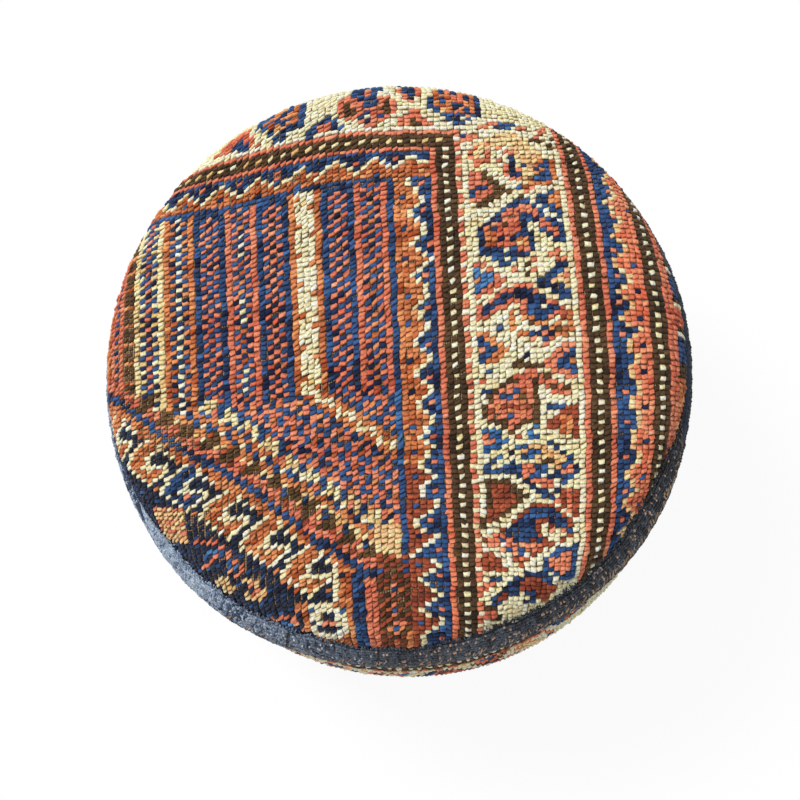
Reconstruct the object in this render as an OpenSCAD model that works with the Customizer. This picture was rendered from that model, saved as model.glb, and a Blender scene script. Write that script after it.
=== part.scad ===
// Round stuffed pouf, covered with a knotted pile rug and piped with velvet.
// Millimetres. The origin is on the floor under the centre, +Z is up and -Y is the near side.

/* [Overall] */
// Diameter over the piping
pouf_d = 406; // [340:1:560]
// Height from the floor to the crown of the top
pouf_h = 254; // [190:1:420]
// Radius of the gentle dome of the top
crown_r = 1100; // [800:10:2500]
// Outer radius of the rolled shoulder round the top
shoulder_r = 28; // [22:0.5:36]
// How far the piping stands out past the shoulder
piping_proud = 9; // [6:0.5:12]
// How far the stuffed side swells past the reach of the piping
side_swell = 5; // [2:0.5:8]

/* [Rug cover] */
// Thickness of the knotted rug, pile included
rug_t = 6; // [4:0.5:8]
// Direction of the first upright seam of the side, in degrees from +X
seam_at = 80; // [0:5:115]
// Gap between the butted ends of two side strips
seam_gap = 0.4; // [0.2:0.1:1]

/* [Piping] */
// Diameter of the velvet-covered piping
piping_d = 16; // [13:0.5:19]
// Thickness of the velvet sleeve round the cord
velvet_t = 0.8; // [0.6:0.1:1.2]
// Depth to which the lower piping is pressed flat on the floor
foot_flat = 0.5; // [0.3:0.1:0.55]

/* [Base cloth] */
// Thickness of the canvas base cloth
canvas_t = 0.8; // [0.5:0.1:1.2]
// Width of the slot between the two hems along the zip
zip_slot_w = 11.2; // [10.4:0.2:16]
// Length of slot left past each end of the zip
zip_slot_end = 5; // [4.5:0.5:10]

/* [Zip] */
// Length of the zip between its stops
zip_l = 300; // [120:5:310]
// Diameter of one nylon coil
coil_d = 2.2; // [1.8:0.1:2.6]
// Gap between the two coils, in which the slider's post runs
coil_gap = 1.4; // [1.2:0.1:2]
// Width of one zip tape
tape_w = 13; // [10:0.5:18]
// Length of tape past each stop
tape_end = 12; // [6:1:16]
// Thickness of a zip tape
tape_t = 0.6; // [0.4:0.1:0.8]
// Length of a metal stop along the zip
stop_l = 3; // [2:0.5:4]
// Height of a metal stop
stop_h = 3.2; // [2.8:0.1:3.6]

/* [Slider and pull] */
// Length of the slider
slider_l = 12; // [10:0.5:15]
// Width of the slider across its shoulders
slider_w = 9; // [8.8:0.1:9.6]
// Width of the slider at its narrow end
slider_neck_w = 7.8; // [7.6:0.1:8.4]
// Thickness of each slider plate
plate_t = 0.9; // [0.7:0.1:1.2]
// Length of the post that joins the plates
post_l = 3; // [2:0.5:4]
// Length of the bail under the slider
bail_l = 6; // [5:0.5:8]
// Width of the bail
bail_w = 2.2; // [1.6:0.1:2.6]
// Thickness of the bail's bar
bail_t = 0.8; // [0.6:0.1:1]
// Height of the bail above the floor
bail_lift = 2.6; // [2:0.1:4]
// Thickness of the pull
pull_t = 1.2; // [1:0.1:1.6]
// Length of the pull from its hinge to its tip
pull_l = 24; // [16:1:30]
// Width of each arm of the pull
pull_arm_w = 1.5; // [1:0.1:2]
// Width of the pull's rounded tip
pull_tip_w = 7.6; // [6:0.2:9]
// Diameter of the hole in the pull's tip
pull_hole_d = 3; // [2:0.2:4]

/* [Filling] */
// Thickness of the cotton liner
liner_t = 0.8; // [0.5:0.1:1]
// Thickness of the wadding under the liner
wadding_t = 8; // [5:0.5:9.5]

/* [Fits] */
// Clearance between two cloth pieces
ease = 0.3; // [0.2:0.05:0.4]
// Running clearance round the slider and the pull
run_gap = 0.3; // [0.25:0.01:0.35]
// Distance at which the slider stops short of a metal stop
park_gap = 0.5; // [0.3:0.1:1]

/* [Hidden] */
$fn = 96;

SIDE_STRIPS = 3;
CROWN_STEPS = 10;
SHOULDER_STEPS = 9;
SIDE_STEPS = 12;
RUG_RED = "#a4523a";
RUG_NAVY = "#2b3a5c";
VELVET = "#56616e";
CORD = "#d9cfb8";
CANVAS = "#b9a887";
TAPE = "#3c3a36";
COIL = "#2b2926";
BRASS = "#a98a4b";
MUSLIN = "#ece6d6";
WADDING = "#f6f4ee";
FOAM = "#e3d9b4";

// Piping: where its centre line runs
piping_r = piping_d / 2;
ring_r = pouf_d / 2 - piping_r;
low_ring_z = piping_r - foot_flat;

// Top: the dome's centre, and the shoulder's centre, tangent to the dome from inside
dome_c = [0, pouf_h - crown_r];
shoulder_x = pouf_d / 2 - piping_proud - shoulder_r;
shoulder_z = dome_c[1] + sqrt(pow(crown_r - shoulder_r, 2) - pow(shoulder_x, 2));
shoulder_c = [shoulder_x, shoulder_z];
tangent_a = atan2(shoulder_z - dome_c[1], shoulder_x);

// Upper piping: it lies in the nook under the shoulder, one clearance away from it
nook_reach = shoulder_r + piping_r + ease;
top_ring_z = shoulder_z - sqrt(pow(nook_reach, 2) - pow(ring_r - shoulder_x, 2));

// Seam flange of the upper piping, and the angle at which the top panel's edge meets it
top_flange_z = top_ring_z;
top_edge_a = asin((top_flange_z + velvet_t + ease - shoulder_z) / shoulder_r);

// Side: one arc that clears both pipings and reaches its widest halfway up
side_mid_z = (top_ring_z + low_ring_z) / 2;
ring_back = side_swell + piping_r;
ring_rise = top_ring_z - side_mid_z;
side_clear = piping_r + ease;
side_arc_r = (pow(ring_back, 2) + pow(ring_rise, 2) - pow(side_clear, 2)) / (2 * (side_clear + ring_back));
side_c = [pouf_d / 2 + side_swell - side_arc_r, side_mid_z];

// Heights through the zip, counted up from the floor
pull_z = bail_lift + bail_t + run_gap + pull_t / 2;
plate_low_z = pull_z + pull_t / 2 + run_gap;
tape_z = plate_low_z + plate_t + run_gap + coil_d / 2;
plate_high_z = tape_z + coil_d / 2 + run_gap;
slider_top_z = plate_high_z + plate_t;
canvas_z = tape_z - tape_t / 2 - ease - canvas_t;
low_flange_z = canvas_z + canvas_t + ease + velvet_t;

// Depths of the layers, measured in from the face of the rug
liner_in = rug_t + ease;
wadding_in = liner_in + liner_t + ease;
foam_in = wadding_in + wadding_t + ease;
liner_z = slider_top_z + 2 * ease;
fill_z = liner_z + liner_t + ease;

// Across the zip
coil_y = coil_gap / 2 + coil_d / 2;
tape_y = coil_gap / 2 + coil_d + ease;
channel_w = 2 * (coil_gap / 2 + coil_d + run_gap);
post_w = coil_gap - 2 * run_gap;
slider_x = zip_l / 2 - slider_l / 2 - park_gap;
arm_y = bail_w / 2 + run_gap;
pull_neck_w = 2 * (arm_y + pull_arm_w);
bail_reach = sqrt(pow(bail_l / 2, 2) + pow(pull_z - bail_lift, 2));
window_l = bail_reach + run_gap;

// Point at angle a on a circle of radius r about c
function on_arc(c, r, a) = [c[0] + r * cos(a), c[1] + r * sin(a)];

// Points along an arc, from angle a0 to a1 in n equal steps
function arc(c, r, a0, a1, n) = [for (i = [0:n]) on_arc(c, r, a0 + (a1 - a0) * i / n)];

// The same points in the other order
function turned(points) = [for (i = [len(points) - 1:-1:0]) points[i]];

// Half section of the top at depth d: the dome from the axis out, then down the shoulder
function top_line(d) = concat(
    arc(dome_c, crown_r - d, 90, tangent_a, CROWN_STEPS),
    arc(shoulder_c, shoulder_r - d, tangent_a, top_edge_a, SHOULDER_STEPS)
);

// Angle on the side's arc at height z and depth d, and the radius of the pouf there
function side_a(z, d) = asin((z - side_c[1]) / (side_arc_r - d));
function side_r(z, d) = side_c[0] + (side_arc_r - d) * cos(side_a(z, d));

// Half section of the side at depth d, from height z1 down to z0
function side_line(d, z1, z0) = arc(side_c, side_arc_r - d, side_a(z1, d), side_a(z0, d), SIDE_STEPS);

// End of the filling's side at depth d: drawn up past the seam to the edge of the top
function neck(d) = on_arc(shoulder_c, shoulder_r - d, top_edge_a) - [0, ease / cos(top_edge_a)];

// A domed sheet between two depths
module top_sheet(outer_d, inner_d) {
    rotate_extrude() polygon(concat(top_line(outer_d), turned(top_line(inner_d))));
}

// A side wall between two depths that reaches from height z0 up to the edge of the top
module side_sheet(outer_d, inner_d, z0) {
    outer = concat([neck(outer_d)], side_line(outer_d, top_flange_z, z0));
    inner = concat([neck(inner_d)], side_line(inner_d, top_flange_z, z0));
    rotate_extrude() polygon(concat(outer, turned(inner)));
}

// The knotted rug over the top, down to its edge under the shoulder
module top_panel() {
    color(RUG_RED) top_sheet(0, rug_t);
}

// One of the rug strips round the side, butted end to end
module side_panel(index) {
    gap_a = seam_gap / (pouf_d / 2) * 180 / PI;
    share_a = 360 / SIDE_STRIPS;
    high_z = top_flange_z - velvet_t - ease;
    low_z = low_flange_z + velvet_t + ease;
    outline = concat(side_line(0, high_z, low_z), turned(side_line(rug_t, high_z, low_z)));
    color(RUG_NAVY)
    rotate([0, 0, seam_at + share_a * index + gap_a / 2])
    rotate_extrude(angle = share_a - gap_a) polygon(outline);
}

// Half section of a velvet sleeve round the cord, with its two plies sewn into a flange
module sleeve_outline(ring_z, flange_z) {
    flange_r = side_r(flange_z, rug_t);
    difference() {
        union() {
            translate([ring_r, ring_z]) circle(r = piping_r);
            translate([flange_r, flange_z - velvet_t]) square([ring_r - flange_r, 2 * velvet_t]);
        }
        translate([ring_r, ring_z]) circle(r = piping_r - velvet_t);
    }
}

module top_piping_velvet() {
    color(VELVET) rotate_extrude() sleeve_outline(top_ring_z, top_flange_z);
}

// The lower sleeve stands on the floor, where it is pressed flat
module bottom_piping_velvet() {
    color(VELVET)
    rotate_extrude()
    intersection() {
        sleeve_outline(low_ring_z, low_flange_z);
        square([pouf_d, piping_d]);
    }
}

// The cotton cord inside a sleeve
module piping_cord(ring_z) {
    color(CORD)
    rotate_extrude()
    translate([ring_r, ring_z])
    circle(r = piping_r - velvet_t - ease);
}

// Half of the canvas base, hemmed back from the zip; side is -1 for the front and 1 for the back
module base_cloth(side) {
    disc_r = ring_r - piping_r - ease;
    slot_l = zip_l + 2 * zip_slot_end;
    color(CANVAS)
    translate([0, 0, canvas_z])
    linear_extrude(canvas_t)
    difference() {
        circle(r = disc_r);
        translate([-pouf_d / 2, side > 0 ? -pouf_d + ease / 2 : -ease / 2]) square([pouf_d, pouf_d]);
        translate([-slot_l / 2, -zip_slot_w / 2]) square([slot_l, zip_slot_w]);
    }
}

module zip_tape(side) {
    length = zip_l + 2 * tape_end;
    color(TAPE)
    translate([-length / 2, side > 0 ? tape_y : -tape_y - tape_w, tape_z - tape_t / 2])
    cube([length, tape_w, tape_t]);
}

module zip_coil(side) {
    color(COIL)
    translate([0, side * coil_y, tape_z])
    rotate([0, 90, 0])
    cylinder(d = coil_d, h = zip_l, center = true);
}

// One clip at the closed end of each coil
module zip_top_stops() {
    color(BRASS)
    for (side = [-1, 1]) {
        translate([zip_l / 2 + stop_l / 2, side * coil_y, tape_z])
        cube([stop_l, coil_d, stop_h], center = true);
    }
}

// One clip across both coils at the other end
module zip_bottom_stop() {
    color(BRASS)
    translate([-zip_l / 2 - stop_l / 2, 0, tape_z])
    cube([stop_l, 2 * coil_y + coil_d, stop_h], center = true);
}

// Outline of the slider from above: shoulders towards the closed end, narrow end behind
module slider_outline() {
    polygon([
        [-slider_l / 2, -slider_neck_w / 2],
        [0, -slider_w / 2],
        [slider_l / 2, -slider_w / 2],
        [slider_l / 2, -coil_y],
        [slider_l / 2 - post_l / 2, 0],
        [slider_l / 2, coil_y],
        [slider_l / 2, slider_w / 2],
        [0, slider_w / 2],
        [-slider_l / 2, slider_neck_w / 2]
    ]);
}

// The lips along both sides of a plate, which hold the coils in
module slider_lips(height) {
    linear_extrude(height)
    difference() {
        slider_outline();
        square([2 * slider_l, channel_w], center = true);
    }
}

// The bail seen from the side: a low bridge under the plate, open for the pull's crossbar
module bail_side() {
    half = bail_l / 2;
    drop = plate_low_z - bail_lift;
    difference() {
        union() {
            translate([-half, -drop + bail_t]) square([bail_l, drop - bail_t]);
            translate([-half + bail_t, -drop]) square([bail_l - 2 * bail_t, bail_t]);
            for (end = [-1, 1]) {
                translate([end * (half - bail_t), -drop + bail_t]) circle(r = bail_t);
            }
        }
        translate([-half + bail_t, -drop + bail_t]) square([bail_l - 2 * bail_t, drop - bail_t]);
    }
}

module zip_slider() {
    lip_h = coil_d / 2 - tape_t / 2;
    color(BRASS)
    translate([slider_x, 0, 0]) {
        translate([0, 0, plate_low_z]) linear_extrude(plate_t) slider_outline();
        translate([0, 0, plate_high_z]) linear_extrude(plate_t) slider_outline();
        translate([0, 0, plate_low_z + plate_t]) slider_lips(lip_h);
        translate([0, 0, plate_high_z - lip_h]) slider_lips(lip_h);
        translate([0, -post_w / 2, plate_low_z + plate_t / 2])
        cube([post_l, post_w, plate_high_z - plate_low_z]);
        translate([0, 0, plate_low_z]) rotate([90, 0, 0]) linear_extrude(bail_w, center = true) bail_side();
    }
}

// The pull lies flat under the zip; its crossbar is the hinge pin in the bail
module zip_pull() {
    tip_r = pull_tip_w / 2;
    color(BRASS)
    translate([slider_x, 0, pull_z]) {
        rotate([90, 0, 0]) cylinder(d = pull_t, h = pull_neck_w, center = true);
        translate([0, 0, -pull_t / 2])
        linear_extrude(pull_t)
        difference() {
            union() {
                translate([-pull_l + tip_r, -pull_neck_w / 2]) square([pull_l - tip_r, pull_neck_w]);
                translate([-pull_l + tip_r, 0]) circle(r = tip_r);
            }
            translate([-window_l, -arm_y]) square([2 * window_l, 2 * arm_y]);
            translate([-pull_l + tip_r, 0]) circle(d = pull_hole_d);
        }
    }
}

module liner_top() {
    color(MUSLIN) top_sheet(liner_in, liner_in + liner_t);
}

module liner_side() {
    color(MUSLIN) side_sheet(liner_in, liner_in + liner_t, liner_z);
}

module liner_base() {
    color(MUSLIN)
    translate([0, 0, liner_z])
    cylinder(r = side_r(liner_z, liner_in + liner_t) - ease, h = liner_t);
}

module wadding_top() {
    color(WADDING) top_sheet(wadding_in, wadding_in + wadding_t);
}

module wadding_side() {
    color(WADDING) side_sheet(wadding_in, wadding_in + wadding_t, fill_z);
}

// The solid foam block that carries a sitter or a pair of feet
module foam_core() {
    wall = concat([neck(foam_in)], side_line(foam_in, top_flange_z, fill_z));
    color(FOAM) rotate_extrude() polygon(concat(top_line(foam_in), wall, [[0, fill_z]]));
}

top_panel();
side_panel(0);  // side_panel_1
side_panel(1);  // side_panel_2
side_panel(2);  // side_panel_3
top_piping_velvet();
piping_cord(top_ring_z);  // top_piping_cord
bottom_piping_velvet();
piping_cord(low_ring_z);  // bottom_piping_cord
base_cloth(-1);  // base_cloth_front
base_cloth(1);  // base_cloth_back
zip_tape(-1);  // zip_tape_front
zip_tape(1);  // zip_tape_back
zip_coil(-1);  // zip_coil_front
zip_coil(1);  // zip_coil_back
zip_top_stops();
zip_bottom_stop();
zip_slider();
zip_pull();
liner_top();
liner_side();
liner_base();
wadding_top();
wadding_side();
foam_core();
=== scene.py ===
# %% [markdown]
# # A round pouf covered in an old hand-knotted rug
#
# The real pouf is a stuffed drum. Its cover is sewn from an old rug: one round piece over the top and
# three strips round the side, with a velvet piping in both seams and a zipped canvas base. The CAD model
# gives every piece its place and size. This lesson dresses those pieces: it ties the knots of the rug one
# by one, brushes the velvet, weaves the canvas, and leaves the brass zip parts as they are, with a better
# finish.

# %% Load the frame
import math

import bmesh
import bpy
import numpy as np
from mathutils import Matrix, Vector


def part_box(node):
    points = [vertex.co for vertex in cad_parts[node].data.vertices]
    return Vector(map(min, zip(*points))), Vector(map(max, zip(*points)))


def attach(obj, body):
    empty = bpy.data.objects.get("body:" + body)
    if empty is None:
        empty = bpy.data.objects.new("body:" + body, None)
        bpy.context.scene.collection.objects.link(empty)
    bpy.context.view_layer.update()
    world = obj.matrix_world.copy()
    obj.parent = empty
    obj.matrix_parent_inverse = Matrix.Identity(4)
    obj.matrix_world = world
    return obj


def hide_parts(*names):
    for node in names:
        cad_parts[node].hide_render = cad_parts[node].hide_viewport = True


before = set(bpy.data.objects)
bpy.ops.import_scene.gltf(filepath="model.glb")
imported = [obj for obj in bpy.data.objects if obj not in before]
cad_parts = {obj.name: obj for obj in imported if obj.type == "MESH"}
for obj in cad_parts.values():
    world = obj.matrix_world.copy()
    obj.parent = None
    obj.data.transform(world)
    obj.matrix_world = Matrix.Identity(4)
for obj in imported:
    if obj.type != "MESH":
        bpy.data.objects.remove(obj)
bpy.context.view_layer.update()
MM = 0.001
CIRCLE = 2 * math.pi

# %% [markdown]
# ## The form underneath
#
# The top is a flat dome that rolls over a tight shoulder, and the side is one long arc between the two
# pipings. A rug can't be modelled on such a form knot by knot, so the rug is drawn flat, in millimetres,
# and a function carries each flat point onto the form. The arcs are worked out here from the boxes of the
# CAD nodes, in the way that a pattern cutter measures a finished pouf.

# %% Measure the top
top_low, top_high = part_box("top_panel")
CROWN_Z = top_high.z
CROWN_R = 1.100
SHOULDER_R = 0.028
SHOULDER_X = round(top_high.x, 3) - SHOULDER_R
DOME_Z = CROWN_Z - CROWN_R
SHOULDER_Z = DOME_Z + math.sqrt((CROWN_R - SHOULDER_R) ** 2 - SHOULDER_X ** 2)
TANGENT = math.atan2(SHOULDER_Z - DOME_Z, SHOULDER_X)
DOME_L = CROWN_R * (math.pi / 2 - TANGENT)
EDGE_A = math.asin((top_low.z - SHOULDER_Z) / SHOULDER_R)
TOP_L = DOME_L + SHOULDER_R * (TANGENT - EDGE_A)
print("rug from crown to edge, mm:", round(TOP_L / MM, 1))

# %% Measure the pipings and the side
cord_low, cord_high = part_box("top_piping_cord")
TOP_RING_Z = (cord_low.z + cord_high.z) / 2
RING_R = cord_high.x - (cord_high.z - cord_low.z) / 2
low_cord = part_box("bottom_piping_cord")
LOW_RING_Z = (low_cord[0].z + low_cord[1].z) / 2
CORD_R = (cord_high.z - cord_low.z) / 2
PIPING_R = 0.008
CLOTH_GAP = 0.0003
OVER = 2.2 * MM
SIDE_X = round(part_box("side_panel_3")[1].x, 3)
SIDE_Z = (TOP_RING_Z + LOW_RING_Z) / 2
rise = TOP_RING_Z - SIDE_Z
inset = SIDE_X - RING_R
SIDE_R = (rise ** 2 + inset ** 2 - (PIPING_R + CLOTH_GAP) ** 2) / (2 * (PIPING_R + CLOTH_GAP + inset))
SIDE_HALF = SIDE_R * math.asin((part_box("side_panel_3")[1].z - SIDE_Z) / SIDE_R)
print("ring, mm:", round(RING_R / MM, 2), "side arc, mm:", round(SIDE_R / MM, 1))


# %% [markdown]
# The rug lies on this form as it was sewn: a point 100 mm from the middle of the flat round piece ends up
# 100 mm along the dome's arc. So a flat point keeps its direction and its distance, and only its height is
# new. Cloth simulation would find nearly the same, but then no knot would keep its exact place in the
# pattern.

# %% Carry flat points onto the form
def polar(r, turn, z):
    """Points at radius r, direction turn and height z."""
    return np.stack([r * np.cos(turn), r * np.sin(turn), z], -1)


def top_point(x, y, depth=0.0):
    """The place of flat point x, y (mm) of the top rug, sunk by depth (m) under its face."""
    run, turn = np.hypot(x, y) * MM, np.arctan2(y, x)
    dome = run <= DOME_L
    angle = np.where(dome, math.pi / 2 - run / CROWN_R, TANGENT - (run - DOME_L) / SHOULDER_R)
    reach = np.where(dome, CROWN_R, SHOULDER_R) + relief(turn, run) - depth
    r = np.where(dome, 0, SHOULDER_X) + reach * np.cos(angle)
    return polar(r, turn, np.where(dome, DOME_Z, SHOULDER_Z) + reach * np.sin(angle))


def side_point(along, up, depth, middle):
    """The place of a flat point of a side strip, along and up (mm) from its middle at direction middle."""
    turn, angle = middle + along * MM / SIDE_X, up * MM / SIDE_R
    reach = SIDE_R + side_relief(turn, angle) - depth
    return polar(SIDE_X - SIDE_R + reach * np.cos(angle), turn, SIDE_Z + reach * np.sin(angle))


NEAR_DEG, FREE_DEG, PULL_DEG = -82, 58, 22
WAVE_H, ROLL_FROM, ROLL_W = 0.0006, 0.176, 0.026
FADE_FROM, FADE_W, QUILT_H = 0.02, 0.05, 0.0012


def pulled_down(turn):
    """1 where the rug was pulled down over the piping, 0 along the near side, where the piping lies free."""
    off = np.abs((np.degrees(turn) - NEAR_DEG + 180) % 360 - 180)
    share = np.clip((off - FREE_DEG) / PULL_DEG, 0, 1)
    return share * share * (3 - 2 * share)


def relief(turn, run):
    """How far the filling pushes the rug out, in metres, and how far it rolls over the piping."""
    fade = np.clip((TOP_L - FADE_FROM - run) / FADE_W, 0, 1)
    wave = np.sin(3 * turn + 0.7) * np.cos(run * 38 + 1.1) + 0.7 * np.sin(5 * turn - 1.3 + run * 30)
    roll = np.clip((run - ROLL_FROM) / ROLL_W, 0, 1)
    over = OVER * pulled_down(turn) * roll * roll * (3 - 2 * roll)
    return WAVE_H * wave * fade * np.clip(run / FADE_W, 0, 1) + over


def side_relief(turn, angle):
    """The same for the side, which is quilted a little by its upright seams."""
    fade = np.clip(1 - np.abs(angle) * SIDE_R / SIDE_HALF, 0, 1)
    return QUILT_H * np.sin(4 * turn + 0.4 + 6 * angle) * np.minimum(3 * fade, 1)


edge = top_point(0, TOP_L / MM)
print("the rug's edge at the far side, mm from the axis and up:", round(edge[1] / MM, 1),
      round(edge[2] / MM, 1))

# %% [markdown]
# ## Helpers for meshes and materials
#
# Blender can take whole arrays of points, which is quick enough for tens of thousands of knots. A piece of
# cloth is a grid of points with a thickness, a thread is a tube along a line, and both come out as points
# and faces that can be joined before they become one mesh.

# %% Build one mesh from parts
def build(name, parts, material):
    """One mesh object from parts, each (points, faces) or (points, faces, dye, uv)."""
    mesh = bpy.data.meshes.new(name)
    points = np.concatenate([p[0].reshape(-1, 3) for p in parts])
    starts = np.cumsum([0] + [p[0].size // 3 for p in parts])
    faces = [p[1] + start for p, start in zip(parts, starts)]
    corners = np.concatenate([f.ravel() for f in faces])
    sizes = np.concatenate([np.full(len(f), f.shape[1]) for f in faces])
    mesh.vertices.add(len(points))
    mesh.vertices.foreach_set("co", points.astype(np.float32).ravel())
    mesh.loops.add(len(corners))
    mesh.loops.foreach_set("vertex_index", corners.astype(np.int32))
    mesh.polygons.add(len(sizes))
    mesh.polygons.foreach_set("loop_start", np.cumsum(np.r_[0, sizes[:-1]]).astype(np.int32))
    mesh.update(calc_edges=True)
    if len(parts[0]) > 2:
        # the dye attribute holds each point's dyed colour together with painted shade, painted highlight and
        # painted sheen
        dye = mesh.color_attributes.new(name="dye", type="FLOAT_COLOR", domain="POINT")
        rgb = np.concatenate([p[2].reshape(-1, 3) for p in parts])
        dye.data.foreach_set("color", np.c_[rgb, np.ones(len(rgb))].astype(np.float32).ravel())
    if len(parts[0]) > 3:
        uv = np.concatenate([p[3].reshape(-1, 2) for p in parts])
        mesh.uv_layers.new(name="OFBake").data.foreach_set("uv", uv[corners].astype(np.float32).ravel())
    mesh.shade_smooth()
    piece = bpy.data.objects.new(name, mesh)
    bpy.context.scene.collection.objects.link(piece)
    mesh.materials.append(material)
    return piece


# %% Grids, lathes, cloth and thread
def quads(rows, columns, wrap_rows=False, wrap_columns=False):
    """Faces of a grid of points."""
    i = np.arange(rows if wrap_rows else rows - 1)[:, None]
    j = np.arange(columns if wrap_columns else columns - 1)[None, :]
    i1, j1 = (i + 1) % rows, (j + 1) % columns
    corners = (i * columns + j, i * columns + j1, i1 * columns + j1, i1 * columns + j)
    return np.stack(corners, -1).reshape(-1, 4)


def lathe(outline, spokes, wobble=None):
    """A closed outline of r, z points turned round the axis. wobble(turn, r, z) moves its points."""
    turn = np.arange(spokes) * CIRCLE / spokes
    r, z = np.array(outline, float).T
    grid_r, grid_t = np.meshgrid(r, turn, indexing="ij")
    grid_z = np.repeat(z[:, None], spokes, 1)
    if wobble is not None:
        out = wobble(grid_t, grid_r, grid_z)
        grid_r, grid_z = grid_r + out[0], grid_z + out[1]
    faces = quads(len(r), spokes, True, True)
    return polar(np.maximum(grid_r, 0), grid_t, grid_z), faces


def cloth(face, inner):
    """A closed sheet between two grids of points with the same rows and columns."""
    rows, columns = face.shape[:2]
    top = quads(rows, columns)
    count = rows * columns
    ring = np.concatenate([np.arange(columns), np.arange(1, rows) * columns + columns - 1,
                           (rows - 1) * columns + np.arange(columns - 2, -1, -1),
                           np.arange(rows - 2, 0, -1) * columns])
    after = np.roll(ring, -1)
    rim = np.stack([after, ring, ring + count, after + count], -1)
    points = np.concatenate([face.reshape(-1, 3), inner.reshape(-1, 3)])
    return points, np.concatenate([top, top[:, ::-1] + count, rim])


def tube(line, radius, sides=6):
    """A round thread along a line of points."""
    line = np.asarray(line, float)
    ahead = np.roll(line, -1, 0) - np.roll(line, 1, 0)
    ahead[0], ahead[-1] = line[1] - line[0], line[-1] - line[-2]
    ahead /= np.linalg.norm(ahead, axis=1)[:, None]
    side = np.cross(ahead, (0.31, 0.17, 0.93))
    side /= np.linalg.norm(side, axis=1)[:, None]
    up = np.cross(ahead, side)
    a = np.arange(sides) * CIRCLE / sides
    ring = side[:, None] * np.cos(a)[None, :, None] + up[:, None] * np.sin(a)[None, :, None]
    points = line[:, None] + ring * radius
    return points.reshape(-1, 3), quads(len(line), sides, False, True)


def joined(parts):
    """Several (points, faces) as one, where all faces have the same number of corners."""
    starts = np.cumsum([0] + [len(p[0]) for p in parts[:-1]])
    return np.concatenate([p[0] for p in parts]), np.concatenate([p[1] + s for p, s in zip(parts, starts)])


patch_of_cloth = cloth(np.zeros((3, 4, 3)), np.zeros((3, 4, 3)))
print("a closed cloth of 3 by 4 points has", len(patch_of_cloth[1]), "faces")

# %% [markdown]
# A colour picked from a screen is sRGB, but Blender's sockets take linear light, so one function turns
# every hex colour. Nodes could be placed and wired in the editor. Here one small function adds a node with
# its settings and its links, so that each finish reads as a short list of what it is made of.

# %% Make materials from nodes
def linear(code):
    """An sRGB hex colour as linear light, which is what Blender's sockets take."""
    value = np.array([int(code[i:i + 2], 16) / 255 for i in (1, 3, 5)])
    return tuple(np.where(value <= 0.04045, value / 12.92, ((value + 0.055) / 1.055) ** 2.4)) + (1.0,)


def dyed(code):
    """The same as an array of red, green and blue."""
    return np.array(linear(code)[:3])


def add(tree, kind, sockets=None, **settings):
    """Adds a node. A socket takes a number, a colour or the output that feeds it. stops are a ramp's."""
    made = tree.nodes.new(kind)
    stops = settings.pop("stops", ())
    for k, (position, colour) in enumerate(stops):
        band = made.color_ramp.elements
        stop = band[k] if k < 2 else band.new(position)
        stop.position, stop.color = position, colour
    for key, value in settings.items():
        setattr(made, key, value)
    for key, value in (sockets or {}).items():
        if isinstance(value, bpy.types.NodeSocket):
            tree.links.new(value, made.inputs[key])
        else:
            made.inputs[key].default_value = value
    return made


def material(name):
    """An empty material and its tree."""
    made = bpy.data.materials.new(name)
    made.use_nodes = True
    made.node_tree.nodes.clear()
    return made, made.node_tree


def grey(value):
    """A grey of linear light, with full alpha."""
    return (value, value, value, 1)


print("half grey on a screen is this much linear light:", round(linear("#808080")[0], 3))

# %% [markdown]
# ## The rug, drawn knot by knot
#
# A knotted rug is a grid: each knot is one spot of one colour, and every motif is made of such spots. This
# rug is a coarse tribal one, with six knots to the inch across and seven or eight along. So the pattern is
# drawn on the grid itself. A Loom holds the place of every knot and the yarn that it is tied with, and its
# methods tie polygons, strokes and single knots in a colour. The rug has a striped field that turns a
# corner, reciprocal zigzags, dotted guards and an ivory border of leaf motifs. The cloth was pulled over
# the filling, so its warps bow, its rows spread in the middle, and its left corner hangs lower than the
# right.

# %% Yarns
DYES = {"rust": ("#9c4823", "#e0935f"), "ivory": ("#edd49d", "#fff4cf"), "cream": ("#efd7a1", "#fff5d2"),
        "straw": ("#d6ac6e", "#fde8b6"), "peach": ("#dd9a62", "#ffdcaa"), "salmon": ("#b24f38", "#e78f6e"),
        "coral": ("#c7583b", "#f39672"), "brick": ("#6a2a1c", "#ab5638"), "navy": ("#0c1432", "#365a8e"),
        "blue": ("#1f467a", "#5486ba"), "ink": ("#0a0e1c", "#2a3550"), "brown": ("#24180b", "#5e452b"),
        "umber": ("#2b1c0d", "#6a4e2f")}
YARNS = list(DYES)
print("yarns:", len(YARNS))

# %% Where a knot lies
LEFT_W, RIGHT_W, SPLIT = 4.36, 4.25, 6.4
ROW_H, SPREAD = 3.15, 9.35
MID_ROW, SPREAD_ROWS = 8, 17
print("knots to the inch, across:", round(25.4 / RIGHT_W, 1), "along:", round(25.4 / ROW_H, 1))


def warp_at(col):
    """Flat place of a knot's column, in mm. Columns up to 0 lie left of SPLIT."""
    return SPLIT + np.where(col < 0.75, LEFT_W, RIGHT_W) * (col - 0.5)


def weft_at(row):
    """Flat place of a row, in mm. The rows spread a little over the middle of the filling."""
    slack = np.tanh((row - MID_ROW) / SPREAD_ROWS) + math.tanh(MID_ROW / SPREAD_ROWS)
    return ROW_H * row + SPREAD * slack


LEAN, LEFT_LEAN, LEAN_W, BOW = -0.042, 0.016, 60, 5e-6
DROP, DROP_W, DROP_FROM, DROP_H = 10, 140, 110, 210


def bow(s, y):
    """Where warp s lies at height y: the cloth was pulled, so its warps bow."""
    lean = LEAN - LEFT_LEAN * np.clip(-s / LEAN_W, 0, 1)
    return s + lean * y - BOW * np.maximum(s - LEAN_W, 0) * y * y


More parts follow.
